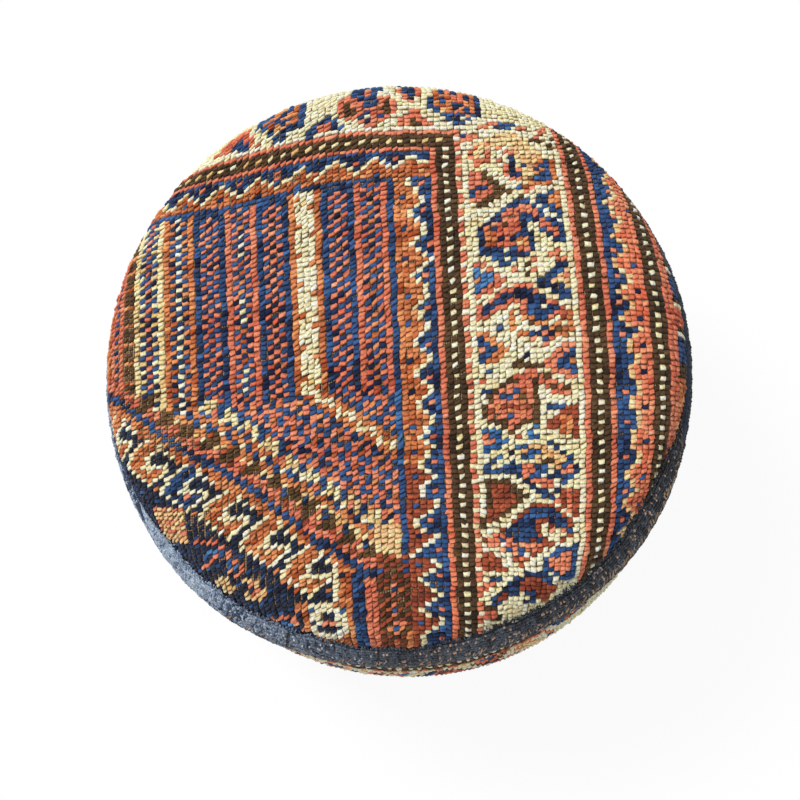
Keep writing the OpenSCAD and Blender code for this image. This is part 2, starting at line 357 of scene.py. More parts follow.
def tilt(s, t):
    """How far row t hangs down at warp s: the upper left corner was pulled down."""
    drop = -DROP * (1 - np.cos(np.pi * np.clip(-s, 0, DROP_W) / DROP_W))
    return drop * np.clip((t + DROP_FROM) / DROP_H, 0, 1)


# %% The loom
LOOM_COLS, LOOM_ROWS = 82, 100
STROKE_W, STROKE_H, DOT_H = 4, 3.25, 3.3


class Loom:
    """One piece of rug: its knots, and the yarn that each is tied with. keep says which places to tie."""

    def __init__(self, keep, pulled=True):
        cols, rows = np.arange(-LOOM_COLS, LOOM_COLS + 1), np.arange(-LOOM_ROWS, LOOM_ROWS + 1)
        col, row = np.meshgrid(cols, rows)
        col, row = col.ravel(), row.ravel()
        s, t = warp_at(col), weft_at(row)
        y = t + tilt(s, t) if pulled else t
        x = bow(s, y) if pulled else s
        kept = keep(x, y)
        self.col, self.row, self.s, self.t, self.x, self.y = (v[kept] for v in (col, row, s, t, x, y))
        self.yarn = np.zeros(self.x.size, int)

    def tie(self, where, dye):
        """Ties every knot of a yes-or-no list with one yarn."""
        self.yarn[where] = YARNS.index(dye)

    def shape(self, dye, *points, at=(0, 0)):
        """Inside of a polygon given as x, y, x, y ..."""
        px, py = np.array(points[0::2], float) + at[0], np.array(points[1::2], float) + at[1]
        inside = np.zeros(self.x.size, bool)
        for k in range(px.size):
            x0, y0, x1, y1 = px[k - 1], py[k - 1], px[k], py[k]
            if y0 != y1:
                crosses = (y0 > self.y) != (y1 > self.y)
                inside ^= crosses & (self.x < x0 + (self.y - y0) * (x1 - x0) / (y1 - y0))
        self.tie(inside, dye)

    def stroke(self, dye, width, *points):
        """A stroke along x, y, x, y ..., one knot thick for every 4 mm of width and never less."""
        thick = max(width / STROKE_W, 1) / 2
        found = np.zeros(self.x.size, bool)
        ends = list(zip(points[0::2], points[1::2]))
        for (x0, y0), (x1, y1) in zip(ends[:-1], ends[1:]):
            u, v = (self.x - x0) / RIGHT_W, (self.y - y0) / STROKE_H
            du, dv = (x1 - x0) / RIGHT_W, (y1 - y0) / STROKE_H
            if abs(du) < abs(dv):
                u, v, du, dv = v, u, dv, du
            share = u / du if du else 0 * u
            inside = (u > min(0, du) - 0.5) & (u < max(0, du) + 0.5)
            found |= inside & (abs(v - dv * np.clip(share, 0, 1)) < thick)
        self.tie(found, dye)

    def dots(self, dye, w, h, *points):
        """A block of knots of w by h round each x, y, at least one knot."""
        w, h = max(w, RIGHT_W), max(h, DOT_H)
        for cx, cy in zip(points[0::2], points[1::2]):
            self.tie((abs(self.x - cx) < w / 2) & (abs(self.y - cy) < h / 2), dye)


# %% [markdown]
# ### The striped field
#
# The field is a set of stripes five knots wide, filled with little lozenges, and at the lower left they
# turn the corner. A weaver counts such a pattern off, and so does the code: a knot's column and row,
# counted in twos, threes and fives, say which yarn it gets.

# %% Stripes that turn the corner
# ground, side dots, heart, and the dot between, for each striped column from right to left
FIELD = [("salmon", "navy", "rust", "navy"), ("navy", "salmon", "navy", "coral"),
         ("rust", "cream", "straw", "cream"), ("navy", "salmon", "ink", "coral"),
         ("salmon", "navy", "rust", "navy"), ("navy", "salmon", "navy", "salmon"),
         ("rust", "navy", "cream", "navy"), ("straw", "navy", "salmon", "navy")]
BEND = -8


def field(loom):
    """Eight striped columns of little lozenges, five knots wide, which turn the corner below row BEND."""
    c, r = loom.col, loom.row
    below = np.maximum(BEND - r - np.clip(-c - 5, 0, 30) // 12, 0)
    line = c - below
    turned = below > 0
    for k, (ground, side, heart, between) in enumerate(FIELD):
        off = line + 5 * k + 3
        here = abs(off) <= 2
        loom.tie(here, ground)
        even = r % 2 == 0
        loom.tie(here & ~turned & even & (abs(off) == 1), side)
        loom.tie(here & ~turned & even & (off == 0), heart)
        loom.tie(here & ~turned & ~even & (off == 0), between)
        if k == 2:
            loom.tie(here & ~turned & (abs(off) < 2) & ((off + r) % 3 > 0), "cream")
        if k == 4:
            loom.tie(here & ~turned & even & (off == 0) & (r % 14 > 7), "cream")
        step = (c + k) % 3
        loom.tie(here & turned & (off == 0) & (step == 0), heart)
        loom.tie(here & turned & (off == 0) & (step != 0), side)
        loom.tie(here & turned & (off == 1) & (step == 1), side)
        loom.tie(here & turned & (off == -1) & (step == 2), side)
        if ground == "navy":
            loom.tie(here & ~turned & (r > 31), "navy")
            loom.tie(here & turned & (abs(off) == 1) & (step == 0), "rust")
    loom.tie((c == 0) & (loom.y > -150), "navy")
    loom.tie((c == 0) & (loom.y < -28) & (loom.y > -78) & (r % 5 < 3), "blue")
    # left of the field: a worn brown stripe, then salmon with small navy dots
    loom.tie(line < -40, "umber")
    loom.tie((line < -40) & (loom.row % 4 == 1), "rust")
    loom.tie(line < -42, "salmon")
    loom.tie((line == -44) & (loom.row % 2 == 0), "navy")
    loom.tie(line < -45, "rust")


print("stripes in the field:", len(FIELD))


# %% The band along the corner
CORNER_X = (-200, -185, -178, -160, -143, -120, -100, -80, -62, -44, -28, -13, -6)
CORNER_Y = (-28, -31, -37, -50, -62, -76, -86, -101, -116, -129, -139, -149, -150)


def corner(loom):
    """The lower edge of the striped field: a salmon band with slanting brown blocks, then a navy line."""
    x, y = loom.x, loom.y
    q = y - np.interp(x, CORNER_X, CORNER_Y)
    flowers = (x < -5) & (x > -128) & (abs(q - 38) < 5)
    loom.tie(flowers, "straw")
    loom.tie(flowers & (loom.col % 3 == 0) & (q > 36), "navy")
    loom.tie(flowers & (loom.col % 5 == 2) & (q < 38), "salmon")
    low = (x < -2) & (q < 13)
    loom.tie(low, "salmon")
    loom.tie(low & ((loom.col + 2 * loom.row) % 5 == 0), "brick")
    for cx, cy in ((-162, -34), (-149, -44), (-136, -54), (-119, -61), (-105, -69), (-90, -79), (-76, -88),
                   (-64, -97), (-52, -106), (-40, -115), (-28, -125), (-14, -134)):
        loom.shape("umber", -7, -4.5, 0, 4, 7.5, 5.5, 4, -4, -3, -6.5, at=(cx, cy))
    loom.tie((abs(q) < 3.0) & (x < -6), "navy")


# %% [markdown]
# ### Borders
#
# A border is a strip of one colour, with a line in it that swings from side to side. The pattern is called
# reciprocal, because the colours on both sides bite into each other in the same shape. The line is given
# by its turning points in millimetres, and every knot asks on which side of the line it lies. Dotted
# guards run between the borders, and every other knot of their middle row is pale.

# %% Borders right of the field and above it
def right_borders(loom):
    """Right of the field: rust and navy biting into each other along a cream line, and a dotted guard."""
    x, y, c = loom.x, loom.y, loom.col
    tips = [-215, -200, -190, -181, -171, -162, -152, -143, -137, -126, -117, -104, -98, -86, -79, -68, -62,
            -50, -41, -29, -20, -9, 1, 13, 25, 37, 47, 58, 67.5, 81, 91, 102.5, 113, 121]
    tops = [36, 22, 20, 35, 20, 33, 18.5, 32, 15, 31, 15.5, 31, 19, 28, 18, 29, 18, 29, 17.5, 28, 17, 29,
            14.5, 27, 16, 26, 16, 27, 14.5, 25, 12, 23.5, 11, 18]
    line = np.interp(y, tips, tops)
    right = (c > 0) & (c < 7) & (y < 124)
    loom.tie(right, "rust")
    loom.tie(right & (y < -80), "brick")
    loom.tie(right & (x > line), "navy")
    loom.tie(right & (abs(x - line) < RIGHT_W / 2), "cream")
    loom.dots("salmon", 4, 3, 22, 114, 22, 92.5, 25, 69, 25, 48.5, 26, 24.5, 25.5, 1, 27, -19.5, 28.5, -39.5,
              29, -61.5, 28, -78, 28, -96, 28, -115, 30, -134, 30, -151, 33, -171, 34, -193)
    loom.dots("navy", 4, 3, 8.5, 102, 11, 79, 12, 57, 13, 34.5, 13, 13, 14.5, -10.5, 15, -30, 15, -53,
              17, -70, 17, -86, 16, -105, 17, -125.5, 18, -143, 20.5, -181)


def top_borders(loom):
    """The same along the top, tilted with the rows."""
    x, y, t, c, r = loom.x, loom.y, loom.t, loom.col, loom.row
    tipx = [-180, -165, -153, -142, -128, -117, -102, -89, -77, -60, -50, -37, -24, -11, 2, 14, 26, 40]
    tipt = [128, 135, 121, 132, 123, 132, 123, 133, 123, 132, 122, 132, 123, 132, 124, 133, 128, 128]
    edge = np.interp(x, tipx, tipt)
    top = (t > 118) & (c < 7)
    loom.tie(top & (x < 30), "rust")
    loom.tie(top & (t > edge) & (x < 30), "navy")
    loom.tie(top & (abs(t - edge) < 1.7) & (x < 30), "cream")
    loom.tie((c < 1) & (abs(t - 116) < 1.7), "navy")
    loom.dots("salmon", 4, 3, 1, 133, -25, 128.5, -52, 123, -77, 121, -102, 117, -128, 113)
    loom.dots("navy", 4, 3, -11, 120, -37, 115, -63, 111.5, -90, 108, -115, 104, -141, 101.5)
    loom.tie((t > 138.5) & (c < 7), "salmon")
    loom.tie((c == 7) & (t < 141), "salmon")
    loom.tie((c == 7) & (y < -80), "coral")
    inner = (c > 7) & (c < 11) & (t < 151)
    loom.tie(inner, "brown")
    loom.tie(inner & (c == 9) & (r % 2 == 0), "ivory")
    bar = (t > 141) & (t < 151) & (c < 10)
    loom.tie(bar, "brown")
    loom.tie(bar & (abs(t - 145.8) < 1.7) & (c % 2 == 0), "straw")


# %% The ivory border, and what lies outside it
def outer_borders(loom):
    """Outside the guard: the ivory border, and beyond it a second guard, zigzag and guard."""
    x, y, t, c, r = loom.x, loom.y, loom.t, loom.col, loom.row
    loom.tie((c > 10) | (t > 151), "ivory")
    loom.tie((c == 11) & (t < 154) | (t > 151) & (t < 154) & (c < 12), "salmon")
    loom.tie((c == 11) & (loom.row % 3 == 0), "ivory")
    loom.tie(c > 28, "salmon")
    loom.tie((c > 29) & (c < 33), "brown")
    loom.tie((c == 31) & (r % 2 == 1), "ivory")
    tips = [-150, -134, -124, -116, -102, -96, -84, -76, -61, -49, -40, -29, -19, -8, 0.5, 10.5, 19, 29, 38,
            47, 57, 68, 77, 88, 99, 108, 118, 130, 140]
    tops = [150, 162, 152, 162, 151, 161, 152, 164, 156, 165.5, 155, 165, 155, 164, 155, 164, 152.5, 162,
            151, 159.5, 149, 159, 147.5, 156, 145, 154, 144, 152, 142]
    line = np.interp(y, tips, tops)
    wide = (c > 33) & (c < 40)
    loom.tie(wide & (x < line), "navy")
    loom.tie(wide & (x > line), "coral")
    loom.tie(wide & (abs(x - line) < RIGHT_W / 2), "peach")
    loom.dots("salmon", 4, 3, 145, 110, 148, 89, 149, 67, 150, 47, 153, 28, 154, 8, 155, -9, 155, -30,
              156, -52, 155, -74, 152, -95, 151, -114)
    loom.dots("navy", 4, 3, 161, 97, 161, 78, 161.5, 56, 164.5, 38, 164, 18, 166, 1, 168, -18, 168, -40,
              166, -63, 165, -86, 164, -106)
    loom.tie((c > 39) & (c < 43), "brown")
    loom.tie((c == 41) & (r % 2 == 0), "ivory")
    loom.tie((c > 42) & (c < 45), "salmon")
    loom.tie(c > 44, "umber")
    for low, high, dye in ((-65, -20, "rust"), (-8, 8, "navy"), (15, 31, "salmon"), (40, 52, "navy")):
        loom.tie((c > 44) & (y > low) & (y < high), dye)
    for level in (9.5, 33, 57):
        loom.tie((c > 44) & (abs(y - level) < 1.8), "cream")


# %% [markdown]
# ### Figures of the ivory border
#
# The border holds leaves (boteh), triangles and small marks, each a little different, because they were
# tied by eye. A picture could be laid on the cloth, but it would be flat, and it would blur. Here each
# figure is a few polygons, strokes and single knots in millimetres, and the later ones lie over the
# earlier ones.

# %% Figures above the field, from left to right
def figures_above(loom):
    """Half leaves and rosettes in red and navy, cut off by the rug's upper edge."""
    shape, dots = loom.shape, loom.dots
    shape("salmon", -123, 142, -91, 145, -95, 155, -104, 166, -114, 158)
    shape("navy", -112, 143, -99, 142, -100, 149, -106, 155)
    shape("navy", -96, 168, -93, 160, -87, 156, -81, 152, -79, 147, -75, 148, -71, 153, -60, 158, -57, 163,
          -61, 184, -66, 186, -62, 163, -72, 160, -77, 156, -84, 159, -90, 165, -93, 172)
    shape("rust", -93, 172, -90, 165, -84, 159, -77, 155, -72, 160, -63, 163, -66, 184, -86, 178)
    dots("navy", 4, 5, -79, 165, -73, 163, -69, 166, -76, 173, -83, 166, -88, 170)
    dots("navy", 4, 10, -85, 176, -73, 178)
    dots("peach", 4, 6, -77, 157)
    shape("navy", -60, 149, -53, 150, -41, 156, -31, 154, -31, 157, -37, 162, -44, 167, -47, 167, -52, 159)
    shape("salmon", -52, 153, -41, 154, -42, 158, -48, 160)
    dots("ivory", 3, 3, -46, 164)
    shape("salmon", -37, 166, -37, 177, -33, 183, -2, 183, 4, 177, 4, 168, -1, 163, -8, 159, -13, 156,
          -19, 159, -30, 162)
    shape("umber", -32, 165, -32, 179, -28, 179, -27, 172, -21, 168, -22, 165)
    shape("umber", -9, 171, -5, 178, -2, 178, -1, 170, -3, 167, -8, 168)
    shape("navy", -28, 198, -27, 182, -20, 176, -17, 171, -13, 171, -10, 176, -8, 182, -8, 198)
    dots("salmon", 3.4, 8, -18, 186)
    dots("salmon", 4, 4, -23, 172, -12, 171, -25, 177, -8, 175)
    dots("navy", 4, 3.4, -20, 165, -15, 161.5, -9, 164.5, -15.5, 168)
    dots("cream", 3.4, 2.6, -16, 165)
    shape("salmon", 0, 155, 31, 155, 27, 160, 20, 167, 16, 169.5, 11, 167, 5, 161)
    shape("umber", 9, 156, 24, 156, 19, 160, 16, 163.5, 13, 160)
    shape("navy", 0, 198, 0, 194, 5, 194, 6, 183, 11, 179, 15, 179, 16, 198)
    shape("salmon", 15, 180, 20, 182, 20, 198, 16, 198)
    dots("salmon", 4, 6, 3, 187, 8, 181)
    dots("salmon", 4, 3, 14, 177)
    shape("navy", 25, 181, 26, 170, 31, 166, 36, 163, 42, 158, 46, 154, 50, 158, 54, 161, 60, 163, 63, 166,
          62, 190, 58, 190, 59, 167, 50, 162, 46, 158, 41, 164, 36, 167, 31, 171, 30, 181)
    shape("rust", 30, 190, 31, 172, 36, 167, 41, 165, 46, 159, 50, 163, 59, 168, 58, 192, 33, 194)
    shape("coral", 38, 192, 40, 178, 48, 177, 50, 190)
    shape("peach", 31, 170, 36, 166, 40, 166, 38, 172)
    dots("navy", 4, 8, 35.5, 179, 33, 190)
    dots("navy", 3.2, 4, 42, 170, 43, 166, 45, 163.5, 49, 165, 51, 169, 49.5, 174, 42, 175, 46, 173)
    dots("navy", 4, 10, 53, 183, 45, 189)
    dots("salmon", 3, 4, 46, 167.5)
    dots("navy", 5, 4, 45, 157, 45, 160)


# %% Figures in the upper third of the border
def upper_figures(loom):
    """A leaf of peach wool, one of salmon wool, and the triangles at their sides."""
    shape, stroke, dots = loom.shape, loom.stroke, loom.dots
    shape("navy", 68, 152, 80, 152, 83, 155, 84, 160, 74, 160, 71, 156)
    dots("salmon", 7, 3, 63, 154, 70, 159, 87, 156)
    stroke("salmon", 2.4, 99, 149, 106, 158)
    shape("salmon", 49, 143, 53, 143, 58, 148, 57, 151, 49, 151)
    dots("navy", 3.4, 3, 51, 148)
    stroke("umber", 2.6, 97, 144, 103, 145, 108, 148)
    stroke("umber", 3.2, 103, 146, 107, 140)
    # boteh of peach wool
    shape("peach", 63, 146, 70, 149, 82, 151, 90, 147, 97, 141, 102, 134, 101, 129, 96, 126, 94, 119,
          90, 121, 87, 128, 80, 136, 78, 142, 70, 140, 64, 136, 60, 130, 54, 130, 51, 134, 57, 142)
    dots("salmon", 4, 4, 53, 134, 58, 138, 59, 128, 64, 131, 67, 134, 72, 139, 64, 142, 79, 137, 81, 133)
    shape("rust", 94, 130, 90, 128, 88, 118, 90, 110, 95, 108, 98, 113, 108, 112, 112, 118, 111, 126,
          108, 131)
    shape("peach", 88, 131, 99, 131, 95, 124, 93, 110, 90, 112, 89, 124)
    dots("navy", 5, 6, 80, 131, 82, 125)
    dots("navy", 9, 5, 83, 121)
    dots("navy", 5, 4, 88.5, 125.5, 97, 122)
    dots("salmon", 3, 3.5, 86, 123.5)
    shape("salmon", 73, 131, 77, 131, 80, 119, 90, 119, 90, 116, 80, 115.5, 75, 124)
    dots("navy", 5, 14, 105.5, 123)
    dots("navy", 6, 4.5, 101, 118, 101, 126)
    dots("umber", 4, 3, 95, 116, 87, 103.5)
    dots("navy", 4, 4, 86.5, 111)
    dots("salmon", 4, 4, 91, 107, 94, 110)
    # brown triangle at the left
    shape("umber", 53, 122, 60, 121, 68, 117, 75, 111, 81, 107.5, 72, 103, 65, 96, 56, 95, 55, 104)
    shape("salmon", 54, 120, 58, 120.5, 64, 115, 69, 109, 66, 104, 60, 98, 55, 97)
    shape("navy", 55, 114.5, 59, 111.5, 64, 110, 59, 107.5, 55, 103)
    # navy triangle at the right
    shape("navy", 95, 101, 103, 105.5, 107, 109, 116, 110, 115, 106, 117, 90, 111, 88.5, 104, 94)
    shape("rust", 107, 103.5, 111, 107, 115, 106, 114, 99, 116, 93, 108, 97)
    # boteh of salmon wool in navy
    shape("navy", 57, 65, 57, 79, 61, 81, 66, 85, 71, 89, 75, 93, 80, 97, 84, 101, 93, 101, 97, 98, 103, 91,
          109, 87, 114, 86, 117, 83, 117, 75, 112, 70, 108, 73, 104, 77, 100, 80, 97, 84, 96, 77, 96, 64,
          92, 60, 84, 59, 70, 59, 61, 62)
    shape("salmon", 61, 67, 61, 78, 66, 82, 72, 86, 77, 91, 82, 95, 86, 97.5, 92, 97.5, 96, 94, 102, 88,
          109, 83, 113, 82, 113, 76, 109, 76, 104, 80, 100, 83, 95, 90, 88, 91, 87, 84, 84, 77, 91, 76,
          91, 65, 84, 66, 77, 62, 70, 66)
    shape("rust", 61, 67, 61, 78, 68, 80, 70, 72, 69, 66)
    shape("rust", 84, 66, 84, 77, 91, 76, 91, 66)
    shape("ivory", 91, 78, 91, 84, 94, 86, 97, 82, 100, 79, 97, 76, 97, 63, 101, 62, 108, 72, 103, 76,
          99, 81, 94, 76)
    dots("navy", 4, 3.4, 67, 79, 72, 74, 77, 71, 82, 73, 85, 77, 81, 67, 74, 65)
    dots("umber", 4, 3, 75, 82)
    dots("cream", 4, 3, 68, 71, 78, 67)
    dots("straw", 3.4, 5, 86, 70)
    shape("salmon", 104, 63, 108, 63, 111, 67, 115, 62, 119, 62, 114, 57, 108, 58)
    # blue triangle at the left
    shape("salmon", 60, 58, 65, 53, 72, 48, 79, 43.5, 72, 39, 64, 35, 57, 31, 57, 56)
    shape("blue", 56, 54, 60, 55, 65, 49, 70, 44, 63, 40, 60, 35, 56, 36)
    dots("rust", 4, 3.4, 59, 45)
    dots("cream", 4, 4, 62, 52)
    # small marks between
    dots("navy", 5, 3.4, 72, 57.5, 76, 54, 81, 58.5)
    dots("salmon", 4, 3.4, 81, 50.5, 93, 58.5, 95, 51)
    dots("umber", 4, 3, 90, 53.5, 91, 46.5)


# %% Figures in the middle of the border
def middle_figures(loom):
    """A navy arch, a leaf of brown and salmon wool, and the triangles at their sides."""
    shape, stroke, dots = loom.shape, loom.stroke, loom.dots
    # navy triangle with peach heart
    shape("navy", 95, 42, 101, 47, 108, 53, 115, 58, 119, 57, 120, 32, 111, 32, 107, 37, 102, 39)
    shape("peach", 106, 45, 111, 49, 116, 55, 119, 53, 119, 38, 113, 41)
    dots("salmon", 4, 3, 117, 47)
    # navy arch
    shape("salmon", 57, 18, 58, 26, 66, 31, 74, 36, 80, 41, 92, 43, 99, 38, 103, 33, 112, 29, 118, 24,
          118, 20, 108, 16, 100, 12, 92, 16, 86, 20, 82, 28, 72, 24, 66, 18)
    shape("navy", 61, 17, 61, 25, 66, 28, 72, 32, 79, 35, 82, 39, 93, 40, 96, 36, 102, 33, 104, 29, 110, 28,
          112, 24, 106, 21, 104, 15, 97, 15, 95, 20, 90, 22, 89, 33, 84, 33, 79, 30, 73, 27, 66, 22)
    dots("cream", 4.6, 3.4, 100, 24)
    shape("ivory", 66, 20, 73, 23, 80, 27, 84, 27, 84, 20, 76, 12, 64, 12)
    shape("rust", 79, 22, 84, 22, 84, 10, 91, 10, 91, 5, 85, 5, 79, 10)
    shape("rust", 84, 20, 96, 18, 104, 14, 112, 20, 118, 22, 119, 10, 112, 5, 104, 10, 96, 12, 88, 13)
    dots("cream", 4, 3.4, 88, 16, 94, 13, 106, 14, 112, 11, 115, 15, 109, 18)
    dots("umber", 4, 2.6, 92, 15, 109, 12.5)
    dots("navy", 5, 4, 100.5, 11, 95, 7, 106, 7.5, 100.5, 2.5)
    dots("salmon", 4, 4, 100.5, 7)
    dots("salmon", 4, 3, 100.5, -1, 95, 3, 106, 3)
    dots("navy", 5, 3, 71, 10.5)
    # navy triangle, left
    shape("rust", 57, 9, 65, 8, 71, 3, 80, -3, 72, -8, 65, -14, 59, -14)
    shape("navy", 57, 6, 61, 6, 66, 1, 70, -3.5, 65, -7, 62, -11, 58, -11)
    dots("salmon", 4, 3, 60, -3)
    dots("navy", 4, 3.4, 91.5, -5.5, 65, -19)
    dots("salmon", 4.6, 3.4, 87, -9, 60, -23)
    stroke("navy", 3.2, 58, -33, 63, -30)
    # navy triangle, right
    shape("salmon", 98, -12, 106, -6, 113, 0, 119, 1, 120, -23, 113, -22, 106, -17)
    shape("navy", 107, -11, 113, -6, 117, -1, 121, -1, 121, -19, 116, -18, 111, -15)
    dots("rust", 3.6, 3, 118.5, -9.5)
    # boteh of brown and salmon
    stroke("umber", 3, 80, -13, 85, -12)
    stroke("umber", 3, 86, -14.5, 99, -14.5)
    shape("umber", 58, -50, 60, -42, 66, -32, 73, -26, 80, -19, 90, -17, 101, -19, 104, -26, 96, -31,
          100, -42, 97, -52, 88, -52, 79, -59, 73, -54, 66, -52)
    shape("salmon", 63, -46, 66, -36, 74, -29, 82, -20, 88, -17, 99, -18, 105, -22, 110, -27, 119, -31,
          118, -35, 108, -32, 100, -29, 94, -24, 90, -27, 93, -34, 95, -44, 92, -48, 84, -50, 79, -56,
          74, -50, 66, -49)
    shape("ivory", 94, -29, 98, -27, 105, -32, 104, -42, 100, -46, 98, -38)
    dots("rust", 5, 4, 78, -44, 70, -42, 86, -46, 88, -38, 72, -36, 84, -30)
    stroke("navy", 3, 75, -35, 80, -32)
    dots("umber", 4, 3.4, 86, -35, 94, -33, 109, -27, 115, -29, 104, -22, 81, -24)
    dots("navy", 4, 3.4, 78, -49)
    dots("brick", 4, 3.4, 66, -45, 82, -43, 76, -40, 91, -42)
    # brick triangle, right
    shape("brick", 99, -53, 106, -46, 113, -42, 121, -40, 121, -62, 114, -59, 106, -56)
    shape("rust", 109, -49, 115, -45, 120, -44, 120, -60, 112, -56)
    stroke("navy", 3.4, 105, -43, 110, -40)


# %% Figures in the lower third of the border
def lower_figures(loom):
    """A leaf drawn in navy dots, two navy ones, and the triangles at their sides."""
    shape, stroke, dots = loom.shape, loom.stroke, loom.dots
    # blue triangle, left
    shape("blue", 58, -57, 71, -57, 73, -61, 79, -63, 72, -68, 60, -72)
    shape("salmon", 60, -61, 65, -61, 70, -62, 65, -67, 60, -68)
    dots("salmon", 4, 3, 84, -60)
    stroke("blue", 3.4, 92, -57, 96, -54)
    # boteh drawn in navy dots
    shape("peach", 84, -70, 88, -66, 98, -65, 108, -70, 114, -75, 114, -80, 104, -83, 96, -80, 90, -76)
    shape("coral", 85, -88, 86, -80, 92, -79, 98, -84, 97, -90, 90, -92)
    shape("coral", 106, -88, 107, -83, 113, -80, 119, -80, 119, -88)
    dots("blue", 11, 3.4, 94, -62)
    dots("blue", 6, 3, 85, -66.5, 94, -71, 92, -74, 72, -75.5)
    dots("navy", 6, 3, 103, -65.5, 108.5, -68.5, 69, -83.5, 109, -83)
    dots("navy", 4.8, 3, 113, -71.5, 78, -70, 67, -78.5, 63, -82, 75, -80, 80, -76.5, 86, -74, 98, -82,
         94, -86, 104, -86, 109, -87.5, 114, -87, 112, -80, 76, -84, 80, -82)
    dots("navy", 4.8, 6, 117, -75.5, 121, -82)
    dots("navy", 4, 9, 83.5, -84)
    dots("navy", 4.4, 3.4, 93.5, -92, 98, -95.5, 107, -95, 112, -91, 88, -90)
    dots("navy", 6, 3.4, 102.5, -99.5)
    dots("salmon", 4, 7, 102, -92)
    dots("umber", 7, 2.4, 103, -78)
    # brick triangle, left
    shape("umber", 60, -89, 78, -89, 84, -95, 89, -100, 80, -107, 72, -113, 66, -118, 60, -119)
    shape("brick", 64, -92, 75, -92, 81, -98, 84, -101, 76, -107, 69, -112, 64, -116)
    # red stripes, right
    shape("coral", 107, -103, 114, -96, 120, -93, 121, -110, 118, -112, 112, -106)
    stroke("brick", 2, 114, -96, 114, -106)
    stroke("brick", 2, 118.5, -95, 118.5, -111)
    # navy and red boteh
    shape("brick", 66, -126, 76, -119, 86, -110, 93, -104.5, 103, -104.5, 110, -109, 116, -114, 120, -120,
          118, -127, 108, -131, 96, -135, 90, -141, 84, -146, 79, -140, 70, -134, 61, -131, 60, -128)
    shape("coral", 61, -129, 70, -123, 78, -128, 90, -130, 98, -128, 96, -134, 86, -142, 78, -137, 68, -134)
    shape("navy", 73, -123, 80, -118, 87, -112, 92, -107.5, 103, -108, 110, -112, 115, -117, 117, -122,
          115, -125, 110, -120, 105, -118, 98, -114, 95, -120, 93, -125, 88, -130, 82, -130, 78, -126)
    shape("ivory", 98, -117, 104, -119, 110, -121, 115, -126, 108, -129, 99, -127)
    dots("salmon", 5, 4, 111, -122.5, 104, -121)
    dots("brick", 3, 14, 96.5, -121)
    dots("navy", 3.4, 3.4, 71, -129, 78, -134, 86, -134, 83, -137, 97, -129)
    dots("ivory", 4, 3, 66, -133, 73, -131, 90, -136, 75, -139)
    shape("brick", 61, -136, 68, -136, 74, -145, 73, -149, 61, -149)
    # navy square, right
    shape("navy", 96, -145, 98, -140, 104, -136, 105, -132, 121, -131, 122, -149, 118, -154, 112, -156,
          105, -149, 100, -148)
    shape("coral", 101, -144, 104, -138, 117, -137, 117, -148, 112, -152, 106, -147)
    # last boteh
    shape("navy", 62, -168, 68, -162, 74, -158, 80, -153, 88, -149, 98, -149, 106, -153, 104, -158, 98, -162,
          92, -172, 86, -172, 76, -166, 70, -171)
    shape("brick", 67, -167, 76, -161, 82, -155, 89, -153, 98, -153, 108, -160, 106, -168, 98, -172,
          90, -160, 82, -162, 72, -168)
    shape("ivory", 72, -168, 80, -164, 86, -162, 89, -166, 86, -178, 78, -180, 72, -174)
    dots("navy", 4, 10, 93, -165)
    dots("navy", 3.4, 3, 76, -163, 82, -158)
    dots("navy", 4.4, 3.4, 68, -154.5)
    dots("salmon", 4.4, 3, 64, -158)
    shape("umber", 61, -172, 68, -172, 74, -182, 66, -184)
    dots("salmon", 5, 6, 65, -176)


# %% [markdown]
# ### Running hooks
#
# The dark outer border repeats one motif, which steps down along the corner. A weaver copies such a motif
# from a chart on squared paper, and so does the loom: one letter is one knot.

# %% The chart of a running hook
HOOK = """
....cr....
...crrc...
..crrrck..
.crrrckc..
.crrckkkc.
crrrckkkk.
crrccccckk
.crrorrck.
..crrrck..
...crck...
....ckk...
....k....."""
LETTERS = {"c": "cream", "r": "rust", "k": "ink", "o": "peach"}
print("knots in a hook:", sum(letter in LETTERS for letter in HOOK))


def hook(loom, col, row, letters=LETTERS):
    """One running hook, from its chart: a leaf edged in cream, a bar, and a black hook biting into it."""
    for down, line in enumerate(HOOK.split()):
        for along, letter in enumerate(line):
            if letter in letters:
                loom.tie((loom.col == col - 5 + along) & (loom.row == row + 5 - down), letters[letter])


